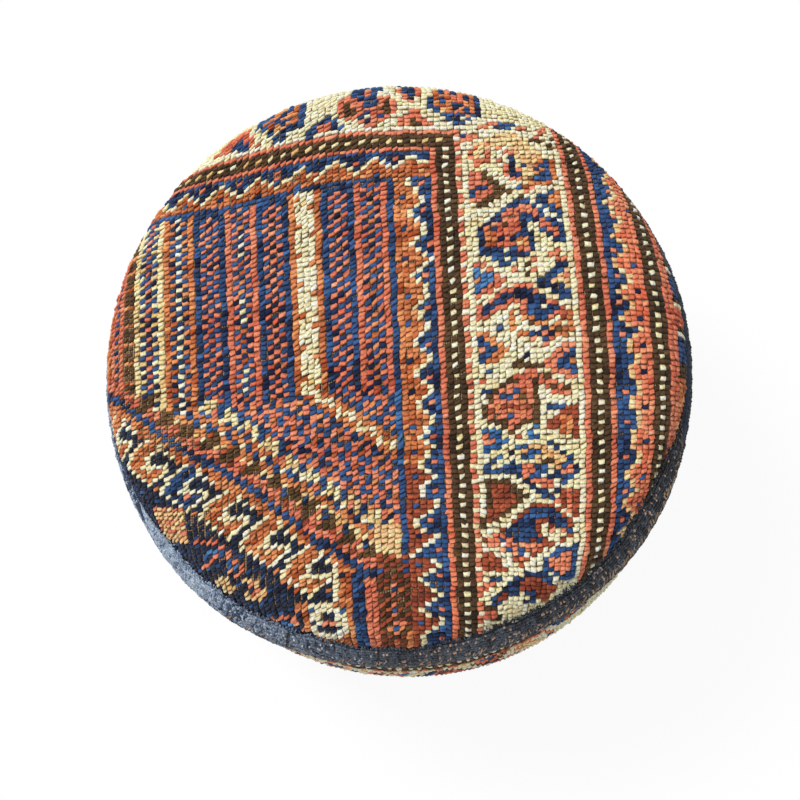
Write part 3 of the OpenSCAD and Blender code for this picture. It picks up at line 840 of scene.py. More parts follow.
# %% The dark outer border
def hooks(loom):
    """The dark outer border below the corner, with its running hooks and scraps of flowers."""
    x, y = loom.x, loom.y
    q = y - np.interp(x, CORNER_X, CORNER_Y)
    under = (q < -3) & (x < -20)
    loom.tie(under, "rust")
    ground = y - np.interp(x, (-210, -180, -162, -136, -109, -84, -60, -38, -34),
                           (-64, -74, -88, -106, -122, -142, -162, -162, -240))
    loom.tie((ground < 0) & (x < -34), "ink")
    loom.tie((ground < 0) & (x < -34) & ((loom.col * 3 + loom.row * 5) % 11 < 2), "navy")
    for k in range(6):
        hook(loom, -44 + 6 * k, -15 - 6 * k, dict(LETTERS, r="navy", o="salmon") if k == 2 else LETTERS)
    # worn ground and small rosettes near the rim
    loom.shape("peach", -160, -104, -136, -104, -136, -128, -150, -130, -162, -128)
    loom.dots("salmon", 4, 3, *[v for k in range(12) for v in (-158 + 7 * (k % 4), -107 - 7 * (k // 4))])
    loom.stroke("coral", 3.8, -128, -129, -114, -129)
    loom.stroke("coral", 3.8, -114, -129, -106, -135, -102, -140, -96, -143, -95, -146, -100, -149,
                -104, -148, -107, -145)
    loom.stroke("coral", 3.8, -127, -146, -120, -142, -115, -138)
    loom.dots("blue", 4, 3, -119, -133, -115, -134.5, -104, -144, -100, -145)
    loom.dots("navy", 5, 4, -122, -137, -110, -136, -109, -140)
    loom.shape("peach", -97, -152, -86, -152, -80, -161, -86, -169, -97, -167)
    loom.dots("salmon", 4, 3, -92, -156, -87, -160, -92, -163)
    loom.dots("ink", 4, 3, -92, -160, -96, -158)
    loom.shape("peach", -117, -153, -106, -153, -103, -160, -112, -166, -120, -160)
    loom.stroke("coral", 3.8, -84, -188, -80, -183, -72, -178, -64, -179, -61, -188)
    loom.shape("blue", -77, -190, -75, -183, -66, -182, -65, -190)
    # the rust and cream column, and the little black flower
    loom.tie((x > -31) & (x < -22) & (y < -144), "rust")
    loom.tie((x > -36.5) & (x < -32) & (y < -146) & (y > -168), "cream")
    loom.shape("rust", -62, -166, -23, -168, -22, -220, -40, -220, -54, -190)
    loom.shape("cream", -54, -169, -40, -166, -30, -174, -29, -190, -40, -197, -51, -192)
    loom.shape("ink", -52, -182, -46, -175, -41, -173, -35, -175, -30, -182, -35, -188, -41, -191, -47, -188)
    loom.dots("salmon", 6, 4.4, -41, -181)
    loom.dots("cream", 4, 3, -46, -180, -36, -180, -47, -174, -34, -174)
    loom.dots("navy", 4, 3, -50, -173, -29, -172)


# %% The foot of the field
def foot(loom):
    """Below the corner: navy, salmon and a brown column of small diamonds."""
    x, y = loom.x, loom.y
    u = x - 0.05 * (-150 - y)
    loom.tie((y < -150) & (u > -24) & (u < -15.5), "navy")
    loom.tie((y < -151) & (u > -15.5) & (u < -6.5), "salmon")
    loom.tie((y < -137) & (x > -6) & (x < 9), "umber")
    loom.tie((y < -150) & (x > -7) & (x < 12), "umber")
    loom.tie((y < -137) & (x > -7) & (x < 12) & ((loom.col + loom.row) % 2 == 0), "brick")
    loom.shape("peach", -12, -120, 0, -115, 6, -117, 8, -139, 1, -137, -7, -130)
    loom.dots("salmon", 5, 3.4, 3, -155.5, 3, -162.5, 4, -170, 4, -176, 5, -182, 4, -189, 5, -197)
    loom.dots("rust", 4, 3, -2, -159, 7, -159, 0, -173, 8, -173, 1, -186, 9, -186)
    loom.dots("navy", 4, 3, 3, -159, 4, -173, 5, -185)


# %% Tie the whole rug
def top_rug(loom):
    """The whole drawing, in the order in which one part lies over another."""
    for step in (field, corner, hooks, foot, right_borders, top_borders, outer_borders, figures_above,
                 upper_figures, middle_figures, lower_figures):
        step(loom)
    print("yarns tied:", len(np.unique(loom.yarn)), "in knots:", loom.yarn.size)


# %% [markdown]
# ## Finishes
#
# Wool is a matt fibre with a faint halo, so its shader is rough with a little sheen. Each tuft brings its
# own dyed colour as a colour attribute, with painted shade at its root and a painted highlight at its tips,
# and the material only adds the fibres. Real wool fibres are 0.03 mm thick, too fine to show, so they are
# drawn as 0.4 mm streaks.

# %% Dyed wool
FIBRE_W, LOCK_W = 0.4 * MM, 1.5 * MM
wool, tree = material("knotted_wool_pile")
# the dye attribute brings each tuft's dyed colour with its painted shade and painted highlight
dye = add(tree, "ShaderNodeAttribute", attribute_name="dye")
spot = add(tree, "ShaderNodeTexCoord").outputs["Object"]
fibre = add(tree, "ShaderNodeTexNoise", {
    "Vector": spot, "Scale": 1 / FIBRE_W, "Detail": 2.0, "Roughness": 0.6})
strand = add(tree, "ShaderNodeValToRGB", {
    "Fac": fibre.outputs["Fac"]}, stops=((0.3, grey(0.72)), (0.7, grey(1.0))))
lock = add(tree, "ShaderNodeTexNoise", {
    "Vector": spot, "Scale": 1 / LOCK_W, "Detail": 2.0, "Roughness": 0.65})
clump = add(tree, "ShaderNodeValToRGB", {
    "Fac": lock.outputs["Fac"]}, stops=((0.34, grey(0.66)), (0.6, grey(1.0))))
fuzzy = add(tree, "ShaderNodeMix", {
    0: 1.0, 6: strand.outputs["Color"], 7: clump.outputs["Color"]}, data_type="RGBA", blend_type="MULTIPLY")
tinted = add(tree, "ShaderNodeMix", {
    0: 1.0, 6: dye.outputs["Color"], 7: fuzzy.outputs[2]}, data_type="RGBA", blend_type="MULTIPLY")
height = add(tree, "ShaderNodeMath", {
    0: fibre.outputs["Fac"], 1: 0.5, 2: lock.outputs["Fac"]}, operation="MULTIPLY_ADD")
fluff = add(tree, "ShaderNodeBump", {"Height": height.outputs[0], "Strength": 0.6, "Distance": 0.8 * MM})
shader = add(tree, "ShaderNodeBsdfPrincipled", {
    "Base Color": tinted.outputs[2], "Roughness": 0.85, "Sheen Weight": 0.08, "Sheen Roughness": 0.5,
    "Specular IOR Level": 0.2, "Normal": fluff.outputs["Normal"]})
add(tree, "ShaderNodeOutputMaterial", {"Surface": shader.outputs[0]})
print(wool.name, "nodes:", len(tree.nodes))

# %% [markdown]
# Velvet is a short upright pile of shiny cotton or rayon. Seen along the fibres it is dark, and seen
# across them it is pale, which is what the sheen lobe of the shader gives. Where the pile is crushed it
# streaks, and that lives in the tufts' own colours, which also hold a painted sheen and painted shade.

# %% Crushed velvet
HAIR_W, CRUSH_W = 0.5 * MM, 3.5 * MM
velvet, tree = material("crushed_slate_velvet")
# the dye attribute brings the velvet's colour with its painted sheen and painted shade
dye = add(tree, "ShaderNodeAttribute", attribute_name="dye")
spot = add(tree, "ShaderNodeTexCoord").outputs["Object"]
hair = add(tree, "ShaderNodeTexNoise", {"Vector": spot, "Scale": 1 / HAIR_W, "Detail": 3.0})
strand = add(tree, "ShaderNodeValToRGB", {
    "Fac": hair.outputs["Fac"]}, stops=((0.32, grey(0.4)), (0.68, grey(1.0))))
crush = add(tree, "ShaderNodeTexNoise", {
    "Vector": spot, "Scale": 1 / CRUSH_W, "Detail": 4.0, "Roughness": 0.7, "Distortion": 1.2})
patches = add(tree, "ShaderNodeValToRGB", {
    "Fac": crush.outputs["Fac"]}, stops=((0.36, grey(0.55)), (0.64, grey(1.0))))
lying = add(tree, "ShaderNodeMix", {0: 1.0, 6: strand.outputs["Color"], 7: patches.outputs["Color"]},
            data_type="RGBA", blend_type="MULTIPLY")
tinted = add(tree, "ShaderNodeMix", {
    0: 1.0, 6: dye.outputs["Color"], 7: lying.outputs[2]}, data_type="RGBA", blend_type="MULTIPLY")
fluff = add(tree, "ShaderNodeBump", {"Height": hair.outputs["Fac"], "Strength": 0.4, "Distance": 0.2 * MM})
shader = add(tree, "ShaderNodeBsdfPrincipled", {
    "Base Color": tinted.outputs[2], "Roughness": 0.7, "Sheen Weight": 0.22, "Sheen Roughness": 0.35,
    "Sheen Tint": linear("#c8d4e4"), "Specular IOR Level": 0.25, "Normal": fluff.outputs["Normal"]})
add(tree, "ShaderNodeOutputMaterial", {"Surface": shader.outputs[0]})
print(velvet.name, "nodes:", len(tree.nodes))

# %% [markdown]
# Woven cloths differ in three things only: the colour of their two sets of threads, the spacing, and the
# angle at which the eye sees the weave run. Two wave textures at right angles make the threads, and where
# one is high the other dips under it. Where neither is high, painted shade darkens the gap between them.
# Canvas has about 12 threads to the centimetre, and is drawn with 8 so that it shows. A wave texture
# repeats every 2 pi / (20 x scale), which gives the scale for a spacing.

# %% Woven cloths
SLUB_L = MM / 0.14


def woven(name, warp_hex, weft_hex, spacing, tilt_deg=0.0):
    """A plain weave with its threads at a real spacing, turned by tilt_deg."""
    made, tree = material(name)
    spot = add(tree, "ShaderNodeTexCoord").outputs["Object"]
    spin = add(tree, "ShaderNodeMapping", {"Vector": spot, "Rotation": (0, 0, math.radians(tilt_deg))})
    scale = CIRCLE / (20 * spacing)
    wave = {"Vector": spin.outputs[0], "Scale": scale, "Distortion": 0.6, "Detail Scale": 0.2}
    warp = add(tree, "ShaderNodeTexWave", wave, bands_direction="X")
    weft = add(tree, "ShaderNodeTexWave", wave, bands_direction="Y")
    over = add(tree, "ShaderNodeMath", {
        0: warp.outputs["Fac"], 1: weft.outputs["Fac"]}, operation="SUBTRACT")
    which = add(tree, "ShaderNodeMath", {0: over.outputs[0], 1: 0.5, 2: 0.5}, operation="MULTIPLY_ADD")
    high = add(tree, "ShaderNodeMath", {0: warp.outputs["Fac"], 1: weft.outputs["Fac"]}, operation="MAXIMUM")
    slub = add(tree, "ShaderNodeTexNoise", {"Vector": spot, "Scale": 1 / SLUB_L, "Detail": 4.0})
    thread = add(tree, "ShaderNodeValToRGB", {
        "Fac": which.outputs[0]}, stops=((0.35, linear(weft_hex)), (0.65, linear(warp_hex))))
    # painted shade: the weave is darkened where neither thread is high, in the gaps between threads
    painted_gap_shade = add(tree, "ShaderNodeValToRGB", {
        "Fac": high.outputs[0]}, stops=((0.1, grey(0.35)), (0.7, grey(1.0))))
    worn = add(tree, "ShaderNodeValToRGB", {
        "Fac": slub.outputs["Fac"]}, stops=((0.3, grey(0.8)), (0.7, grey(1.05))))
    shaded = add(tree, "ShaderNodeMix", {0: 1.0, 6: thread.outputs["Color"], 7: painted_gap_shade.outputs["Color"]},
                 data_type="RGBA", blend_type="MULTIPLY")
    varied = add(tree, "ShaderNodeMix", {
        0: 1.0, 6: shaded.outputs[2], 7: worn.outputs["Color"]}, data_type="RGBA", blend_type="MULTIPLY")
    threads = add(tree, "ShaderNodeBump", {
        "Height": high.outputs[0], "Strength": 0.6, "Distance": spacing / 4})
    shader = add(tree, "ShaderNodeBsdfPrincipled", {
        "Base Color": varied.outputs[2], "Roughness": 0.9, "Specular IOR Level": 0.25,
        "Normal": threads.outputs[0]})
    add(tree, "ShaderNodeOutputMaterial", {"Surface": shader.outputs[0]})
    return made


rug_ground = woven("cotton_warp_wool_weft_ground", "#9a8460", "#4e2c20", 1.6 * MM)
canvas = woven("undyed_cotton_canvas", "#cdbb97", "#bca982", 1.25 * MM)
twill_tape = woven("polyester_twill_zip_tape", "#3f3d3a", "#2e2c2a", 0.9 * MM, 45)
muslin = woven("bleached_cotton_muslin", "#efe8d8", "#e4dcc8", 1.1 * MM)
print("woven cloths:", ", ".join(made.name for made in (rug_ground, canvas, twill_tape, muslin)))

# %% [markdown]
# Nylon for zip coils is drawn through a die, so it is smooth and shows a soft highlight. A plain dark
# plastic would do in a picture of the whole pouf, but close to it the eye looks for the faint mottle of
# the dyed wire.

# %% Drawn nylon
MOTTLE_W = MM / 0.9
nylon, tree = material("drawn_nylon_monofilament")
spot = add(tree, "ShaderNodeTexCoord").outputs["Object"]
mottle = add(tree, "ShaderNodeTexNoise", {"Vector": spot, "Scale": 1 / MOTTLE_W, "Detail": 2.0})
tone = add(tree, "ShaderNodeValToRGB", {
    "Fac": mottle.outputs["Fac"]}, stops=((0.3, linear("#23211f")), (0.7, linear("#34312d"))))
shader = add(tree, "ShaderNodeBsdfPrincipled", {
    "Base Color": tone.outputs["Color"], "Roughness": 0.32, "IOR": 1.53})
add(tree, "ShaderNodeOutputMaterial", {"Surface": shader.outputs[0]})
print(nylon.name, "nodes:", len(tree.nodes))

# %% [markdown]
# Brass fittings are stamped from sheet and tumbled with grit. That gives the eye a warm metal with fine
# scratches, which blur its highlights unevenly, and with darker tarnish where fingers don't rub.

# %% Tumbled brass
TARNISH_W, SCRATCH_W = MM / 0.35, MM / 2.5
brass, tree = material("tumbled_brass")
spot = add(tree, "ShaderNodeTexCoord").outputs["Object"]
tarnish = add(tree, "ShaderNodeTexNoise", {"Vector": spot, "Scale": 1 / TARNISH_W, "Detail": 5.0})
scratch = add(tree, "ShaderNodeTexNoise", {"Vector": spot, "Scale": 1 / SCRATCH_W, "Detail": 2.0})
tone = add(tree, "ShaderNodeValToRGB", {
    "Fac": tarnish.outputs["Fac"]}, stops=((0.3, linear("#8a6a35")), (0.62, linear("#c9a55c"))))
rough = add(tree, "ShaderNodeMapRange", {"Value": scratch.outputs["Fac"], "To Min": 0.24, "To Max": 0.5})
mark = add(tree, "ShaderNodeBump", {
    "Height": scratch.outputs["Fac"], "Strength": 0.25, "Distance": 0.05 * MM})
shader = add(tree, "ShaderNodeBsdfPrincipled", {
    "Base Color": tone.outputs["Color"], "Metallic": 1.0, "Roughness": rough.outputs[0],
    "Normal": mark.outputs[0]})
add(tree, "ShaderNodeOutputMaterial", {"Surface": shader.outputs[0]})
print(brass.name, "nodes:", len(tree.nodes))

# %% [markdown]
# The filling never shows on a closed pouf, but it is there when the cover comes off. Foam is cut from a
# block, so its face shows open cells of about 1 mm. Wadding is a fleece of crimped fibres. The piping cord
# is spun cotton, and sewing thread is a waxed twist.

# %% Filling, cord and thread
def fluffy(name, light_hex, dark_hex, size, cells=False, roughness=0.95):
    """A soft matt stuff with spots, or open cells, of a real size."""
    made, tree = material(name)
    spot = add(tree, "ShaderNodeTexCoord").outputs["Object"]
    kind = "ShaderNodeTexVoronoi" if cells else "ShaderNodeTexNoise"
    spots = add(tree, kind, {"Vector": spot, "Scale": 1 / size})
    out = spots.outputs["Distance" if cells else "Fac"]
    # with open cells the dark end of the ramp lies in each cell's pit, as painted shade; without cells it
    # gives random spots
    tone = add(tree, "ShaderNodeValToRGB", {
        "Fac": out}, stops=((0.2, linear(dark_hex)), (0.7, linear(light_hex))))
    dent = add(tree, "ShaderNodeBump", {"Height": out, "Strength": 0.5, "Distance": size / 3})
    shader = add(tree, "ShaderNodeBsdfPrincipled", {
        "Base Color": tone.outputs["Color"], "Roughness": roughness, "Specular IOR Level": 0.2,
        "Normal": dent.outputs[0]})
    add(tree, "ShaderNodeOutputMaterial", {"Surface": shader.outputs[0]})
    return made


foam = fluffy("cut_polyurethane_foam", "#ecdfae", "#cdbd85", 1.2 * MM, cells=True)
wadding = fluffy("carded_polyester_wadding", "#f8f6f0", "#dedad0", 2.5 * MM)
cotton_cord = fluffy("twisted_cotton_cord", "#e0d6bf", "#b7a988", 0.8 * MM)
thread = fluffy("waxed_cotton_thread", "#d8c9a3", "#9c8a64", 0.5 * MM, roughness=0.6)
print("fillings and threads:", ", ".join(made.name for made in (foam, wadding, cotton_cord, thread)))

# %% [markdown]
# ## Tying the knots
#
# A symmetric knot is a loop of yarn round two warps, and its two cut ends stand up side by side. Each knot
# is drawn as one tuft with two blunt tips, which leans the way that the pile was combed, towards the viewer.
# Its colours hold painted shade, dark at the ground and in the dip between the tips, and a painted highlight
# on the tips. Where the rug is worn the tufts are short and thin, and the cotton warps show between them.
# Hair particles would look as good in a picture, but they aren't in the mesh, and here the mesh is a result
# too.

# %% The colour of each knot
ROOT = 1.8 * MM
RUG_T = 6.0 * MM
print("pile, mm:", ROOT / MM, "whole rug, mm:", RUG_T / MM)
HAND_DYED = [YARNS.index(dye) for dye in ("rust", "straw", "navy")]
rng = np.random.default_rng(406)


def yarn_colour(loom):
    """Each knot's colour, between the dark and the light bath of its dye, with bands from the batches."""
    dark, light = (np.array([dyed(pair[k]) for pair in DYES.values()])[loom.yarn] for k in (0, 1))
    batch = 0.12 * np.sin(loom.t * 0.13 + 1) + 0.10 * np.sin(loom.t * 0.047 + 0.02 * loom.s)
    line = rng.normal(0, 0.07, 400)[loom.row + 200]
    uneven = np.where(np.isin(loom.yarn, HAND_DYED), 0.3, 0.16)
    mix = np.clip(0.5 + batch + line + uneven * rng.normal(0, 1, loom.x.size), 0, 1)[:, None]
    return dark * (1 - mix) + light * mix


# %% One tuft
# places in the cell, then how deep (share of the root), how far it leans with the tip, and how light it is,
# from painted shade at the root to a painted highlight at the tips
TUFT = ((-0.56, -0.56, 1, 0, 0), (0.56, -0.56, 1, 0, 0), (0.56, 0.56, 1, 0, 0), (-0.56, 0.56, 1, 0, 0),
        (-0.44, -0.34, 0.3, 0.6, 0.8), (0, -0.45, 0.42, 0.6, 0.55), (0.44, -0.34, 0.3, 0.6, 0.8),
        (0.44, 0.3, 0.3, 0.6, 0.75), (0, 0.4, 0.45, 0.6, 0.5), (-0.44, 0.3, 0.3, 0.6, 0.75),
        (-0.22, -0.08, 0, 1, 1), (0.22, -0.08, 0, 1, 1))
TUFT_FACES = np.array([[0, 5, 4], [0, 1, 5], [1, 6, 5], [1, 7, 6], [1, 2, 7], [2, 8, 7], [2, 3, 8],
                       [3, 9, 8], [3, 4, 9], [3, 0, 4], [10, 4, 5], [10, 5, 11], [11, 5, 6], [11, 6, 7],
                       [11, 7, 8], [11, 8, 10], [10, 8, 9], [10, 9, 4]])


def tufts(cx, cy, w, h, colour, place, uv_of, turn, reach, root, lift, skew=0.0, base=0.32, painted_tip_highlight=1.62):
    """Tufts with two blunt tips on cells w by h (mm). They lean by reach, and skew makes them slant. Their
    colours hold painted shade at the root and a painted highlight at the tips.
    """
    n = len(cx)
    points, uv, light = np.empty((n, 12, 3)), np.empty((n, 12, 2)), np.empty((n, 12, 3))
    c, d = np.cos(turn), np.sin(turn)
    tone = 1 + rng.normal(0, 0.11, n)
    for k, (a, b, deep, leans, bright) in enumerate(TUFT):
        across = a * w
        ahead = b * h + skew * across - leans * reach
        sink = deep * root - (1 - deep) * (lift + (k > 9) * rng.normal(0, 0.16 * MM, n))
        points[:, k] = place(cx + across * c + ahead * d, cy - across * d + ahead * c, sink)
        uv[:, k] = uv_of(cx + 0.88 * a * w, cy + 0.88 * b * h)
        # painted shade darkens the root, tinted warm like light bounced between tufts; painted highlight on
        # the tips
        shade = (base + (painted_tip_highlight - base) * bright) * tone * (1 + rng.normal(0, 0.07, n))
        light[:, k] = shade[:, None] * np.array((1.1, 0.96, 0.82)) ** (1 - bright)
    faces = (np.arange(n)[:, None, None] * 12 + TUFT_FACES).reshape(-1, 3)
    return points, faces, np.clip(colour[:, None, :] * light, 0.002, 1), uv


print("a tuft has", len(TUFT), "points and", len(TUFT_FACES), "triangles")


# %% The pile of a whole loom
def pile(loom, place, uv_of, wear):
    """The tufts of a loom, one to a knot. wear runs from 0, thick pile, to 1, bare knots."""
    n = loom.x.size
    w = np.where(loom.col < 0.75, LEFT_W, RIGHT_W)
    h = ROW_H + SPREAD / SPREAD_ROWS / np.cosh((loom.row - MID_ROW) / SPREAD_ROWS) ** 2
    worn = np.clip(wear(loom) + rng.normal(0, 0.1, n), 0, 1)
    comb = np.sin(loom.s * 0.021 + 0.6) * np.cos(loom.t * 0.017 - 0.4)
    comb = comb + 0.4 * np.sin(loom.s * 0.09 + loom.t * 0.06)
    skew = np.where(loom.col < 1, 0.42, 0.2) + 0.22 * comb + rng.normal(0, 0.16, n)
    sway = 0.35 * np.sin(loom.t * 0.19 + loom.col * 0.7) + rng.normal(0, 0.3, n)
    drift = 0.3 * np.sin(loom.s * 0.13 + loom.row * 1.1) + rng.normal(0, 0.28, n)
    slim = (1 - 0.24 * worn) * (1 + rng.normal(0, 0.07, n))
    reach = (1 - 0.6 * worn) * rng.uniform(0.2, 1.5, n)
    lift = rng.normal(0.15, 0.28, n) * MM - worn * 0.7 * MM
    # the rug's tufts keep the default painted shade at the root and painted highlight at the tips
    return [tufts(loom.s + sway, loom.t + drift, w * slim, h * slim, yarn_colour(loom), place, uv_of,
                  rng.normal(0, 0.16, n), reach, ROOT, lift, skew)]


# %% Where the rug is worn
BARE, THIN, BRITTLE, SIDE_WEAR = 0.95, 0.6, 0.3, 0.15


def patch(x, y, cx, cy, rx, ry):
    """A soft worn spot."""
    return np.clip(1.6 - np.hypot((x - cx) / rx, (y - cy) / ry), 0, 1)


def top_wear(loom):
    """Worn spots of the top, from 0 to 1. Black and brown wools are always worn a little, by their dye."""
    x, y = loom.x, loom.y
    spots = ((-177, -5, 8, 40), (-190, 10, 8, 40), (-147, -116, 12, 12), (-122, -116, 13, 10),
             (-150, -60, 25, 12), (-100, -150, 30, 14), (10, -163, 22, 12), (43, 0, 5, 26),
             (-80, 118, 90, 5), (-2, -58, 4, 20), (-4, 50, 4, 10), (-60, -100, 60, 10))
    worn = 0.05 + 0.1 * np.sin(x * 0.05 + 1) * np.sin(y * 0.06)
    for k, spot in enumerate(spots):
        worn = np.maximum(worn, patch(x, y, *spot) * (BARE if k < 5 else THIN))
    brittle = np.isin(loom.yarn, (YARNS.index("ink"), YARNS.index("umber")))
    return np.where(brittle, np.maximum(worn, BRITTLE), worn)


# %% [markdown]
# The drawing is laid on the top a few millimetres off the middle, as the cloth was when it was cut. Knots
# that would lie deep under the wide velvet strip are never tied, because nothing shows of them.

# %% Lay the drawing on the top
PILE_EDGE = 224.0
LAY_X, LAY_Y, LAY_LEAN = (1.003, -1.15), (0.996, 3.8), 0.004
SHEET_MM, STRIP_MM = 520, 450


def lay(x, y):
    """Lays the drawing on the top: it was pulled a few mm off the middle."""
    return LAY_X[0] * x + LAY_X[1], LAY_Y[0] * y + LAY_LEAN * x + LAY_Y[1]


def fold_width(turn):
    """How far the velvet of the upper strip lies over the rug's edge, in mm, with its ragged edge."""
    ragged = 1.5 * np.sin(9 * turn) + 0.8 * np.sin(31 * turn + 1) + 0.6 * np.sin(67 * turn)
    return (1 - pulled_down(turn)) * (14 + 5 * np.cos(turn + math.radians(62)) + ragged)


def shows(x, y):
    """Whether a knot shows: it lies on the rug, and not deep under the velvet strip."""
    x, y = lay(x, y)
    width = fold_width(np.arctan2(y, x))
    return np.hypot(x, y) < np.where(width > 8, 225 - width, PILE_EDGE)


def top_place(s, t, depth):
    """The place of warp s and weft t (mm) of the loom on the real top."""
    y = t + tilt(s, t)
    x, y = lay(bow(s, y), y)
    return top_point(x, y, depth)


def top_uv(s, t):
    """The same point on the flat sheet that a baker would paint."""
    return np.stack([0.5 + s / SHEET_MM, 0.5 + t / SHEET_MM], -1)


# %% The top: pile
loom = Loom(shows)
top_rug(loom)
rug_top_pile = build("rug_top_pile", pile(loom, top_place, top_uv, top_wear), wool)
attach(rug_top_pile, "pouf")
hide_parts("top_panel")
print("knots on the top:", loom.x.size, "triangles:", len(rug_top_pile.data.polygons))

# %% [markdown]
# Every other soft layer of the pouf is a section turned round its axis, at its own depth under the face. A
# modifier could thicken one surface, but then the layers would share points. Each is a closed piece of its
# own here.

# %% Sections of the form at a depth
def top_arc(depth, steps=26, bends=12):
    """The half section of the top at a depth, from the axis to the edge: points (r, z)."""
    dome = np.linspace(math.pi / 2, TANGENT, steps)
    roll = np.linspace(TANGENT, EDGE_A, bends)[1:]
    r = np.r_[(CROWN_R - depth) * np.cos(dome), SHOULDER_X + (SHOULDER_R - depth) * np.cos(roll)]
    z = np.r_[DOME_Z + (CROWN_R - depth) * np.sin(dome), SHOULDER_Z + (SHOULDER_R - depth) * np.sin(roll)]
    return [tuple(p) for p in np.c_[r, z]]


def side_arc(depth, high, low, steps=26):
    """The half section of the side at a depth, between two heights."""
    reach = SIDE_R - depth
    a = np.linspace(math.asin((high - SIDE_Z) / reach), math.asin((low - SIDE_Z) / reach), steps)
    return [tuple(p) for p in np.c_[SIDE_X - SIDE_R + reach * np.cos(a), SIDE_Z + reach * np.sin(a)]]


print("the side swells to, mm:", round(side_arc(0, TOP_RING_Z, LOW_RING_Z)[13][0] / MM, 1))


# %% Close a piece, and let it follow the filling
def mend(piece):
    """Closes a lathe at its axis, where its points fall together."""
    work = bmesh.new()
    work.from_mesh(piece.data)
    bmesh.ops.remove_doubles(work, verts=work.verts, dist=0.005 * MM)
    bmesh.ops.dissolve_degenerate(work, edges=work.edges, dist=0.005 * MM)
    bmesh.ops.recalc_face_normals(work, faces=work.faces)
    work.to_mesh(piece.data)
    work.free()
    piece.data.shade_smooth()
    return piece


def follow_top(turn, r, z):
    """The lumps of the rug's face for every soft layer of the top, without the roll over the piping."""
    push = relief(turn, np.minimum(np.where(z > SHOULDER_Z, r, TOP_L), ROLL_FROM))
    return 0 * push, push


# %% The top: ground cloth
def ground_grid(depth):
    """The rug's cloth as a grid of rings, which takes the same relief as the pile."""
    run = np.r_[np.linspace(0.2, 150, 30), np.linspace(154, TOP_L / MM, 24)]
    turn = np.linspace(0, CIRCLE, 193)[:-1]
    grid_run, grid_turn = np.meshgrid(run, turn, indexing="ij")
    return top_point(grid_run * np.cos(grid_turn), grid_run * np.sin(grid_turn), depth)


GROUND = ROOT - 0.1 * MM
rings = np.concatenate([ground_grid(GROUND), ground_grid(RUG_T)[::-1]])
shell = (rings.reshape(-1, 3), quads(len(rings), rings.shape[1], True, True))
ground = mend(build("rug_top_ground", [shell], rug_ground))
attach(ground, "pouf")
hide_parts("top_panel")
print("ground cloth under the top, faces:", len(ground.data.polygons))

# %% [markdown]
# The side is three strips cut from the same rug, each from another part of it: one with the leaf border
# running round, one across the striped field, and one across the dark corner with its hooks. The same
# drawing serves all three. Only the window that the scissors cut changes.

# %% The side: three strips
STRIP_L = SIDE_X / MM * CIRCLE / 3 - 0.4
STRIP_H = 2 * SIDE_HALF / MM
SEAM_DEG = 80
CUTS = {"1": (0, -10, 25), "2": (90, 88, 8), "3": (180, -20, -72)}


def strip(name, turn_deg, cut_x, cut_y, middle):
    """One side strip: the rug's window about cut_x, cut_y, turned by turn_deg and laid round the side."""
    c, d = round(math.cos(math.radians(turn_deg))), round(math.sin(math.radians(turn_deg)))

    def unroll(s, t):
        x, y = s - cut_x, t - cut_y
        return c * x + d * y, c * y - d * x

    def inside(x, y):
        along, up = unroll(x, y)
        return (abs(along) < STRIP_L / 2 - 2) & (abs(up) < STRIP_H / 2 - 0.8)

    def place(s, t, depth):
        along, up = unroll(s, t)
        return side_point(along, up, depth, middle)

    def uv_of(s, t):
        return np.stack([0.5 + (s - cut_x) / STRIP_MM, 0.5 + (t - cut_y) / STRIP_MM], -1)

    loom = Loom(inside, False)
    top_rug(loom)
    piece = build(name, pile(loom, place, uv_of, lambda loom: SIDE_WEAR + 0 * loom.x), wool)
    print(name, "knots:", loom.x.size)
    return piece


# %% Lay the strips round the side
for k, (label, (turn_deg, cut_x, cut_y)) in enumerate(CUTS.items()):
    middle = math.radians(SEAM_DEG + 120 * k + 60)
    knots = strip("rug_side_pile_" + label, turn_deg, cut_x, cut_y, middle)
    along = np.linspace(-STRIP_L / 2, STRIP_L / 2, 100)
    up = np.linspace(-STRIP_H / 2, STRIP_H / 2, 40)
    grid_a, grid_u = np.meshgrid(along, up)
    face = side_point(grid_a, grid_u, GROUND, middle)
    inner = side_point(grid_a, grid_u, RUG_T, middle)
    backing = build("rug_side_ground_" + label, [cloth(face, inner)], rug_ground)
    for piece in (knots, backing):
        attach(piece, "pouf")
        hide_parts("side_panel_" + label)


# %% [markdown]
# ## Velvet piping
#
# Piping is a cord wrapped in a strip of velvet and caught in the seam. Its pile is crushed by years of
# feet, so it lies in streaks, and its colours add a painted sheen, pale to the lower left, and painted shade
# to the upper right.
# The sleeve is a closed ring, and the pile is planted on the part that shows. Along the near side the
# strip's long nap lies over the edge of the rug. Elsewhere the rug rolls over the piping and hides it from
# above.

# %% Where velvet lies, and its colours
# the pale colour serves both the crushed nap's pale streaks and the painted sheen, the deep one both its
# dark streaks and the painted shade
VELVET_HEX = {"pale_nap_and_sheen": "#b9cdea", "slate": "#51658a", "deep": "#10151f", "warm_dark": "#2a2d34"}
NAP_ROOT = 1.1 * MM
RING_L = CIRCLE * RING_R / MM


def plump(turn):
    """The upper strip is loose at two places of the near side, and stands further out there."""
    off = np.abs((np.degrees(turn) + 80 + 180) % 360 - 180)
    return 2.4 * MM * np.exp(-((off - 45) / 18) ** 2)


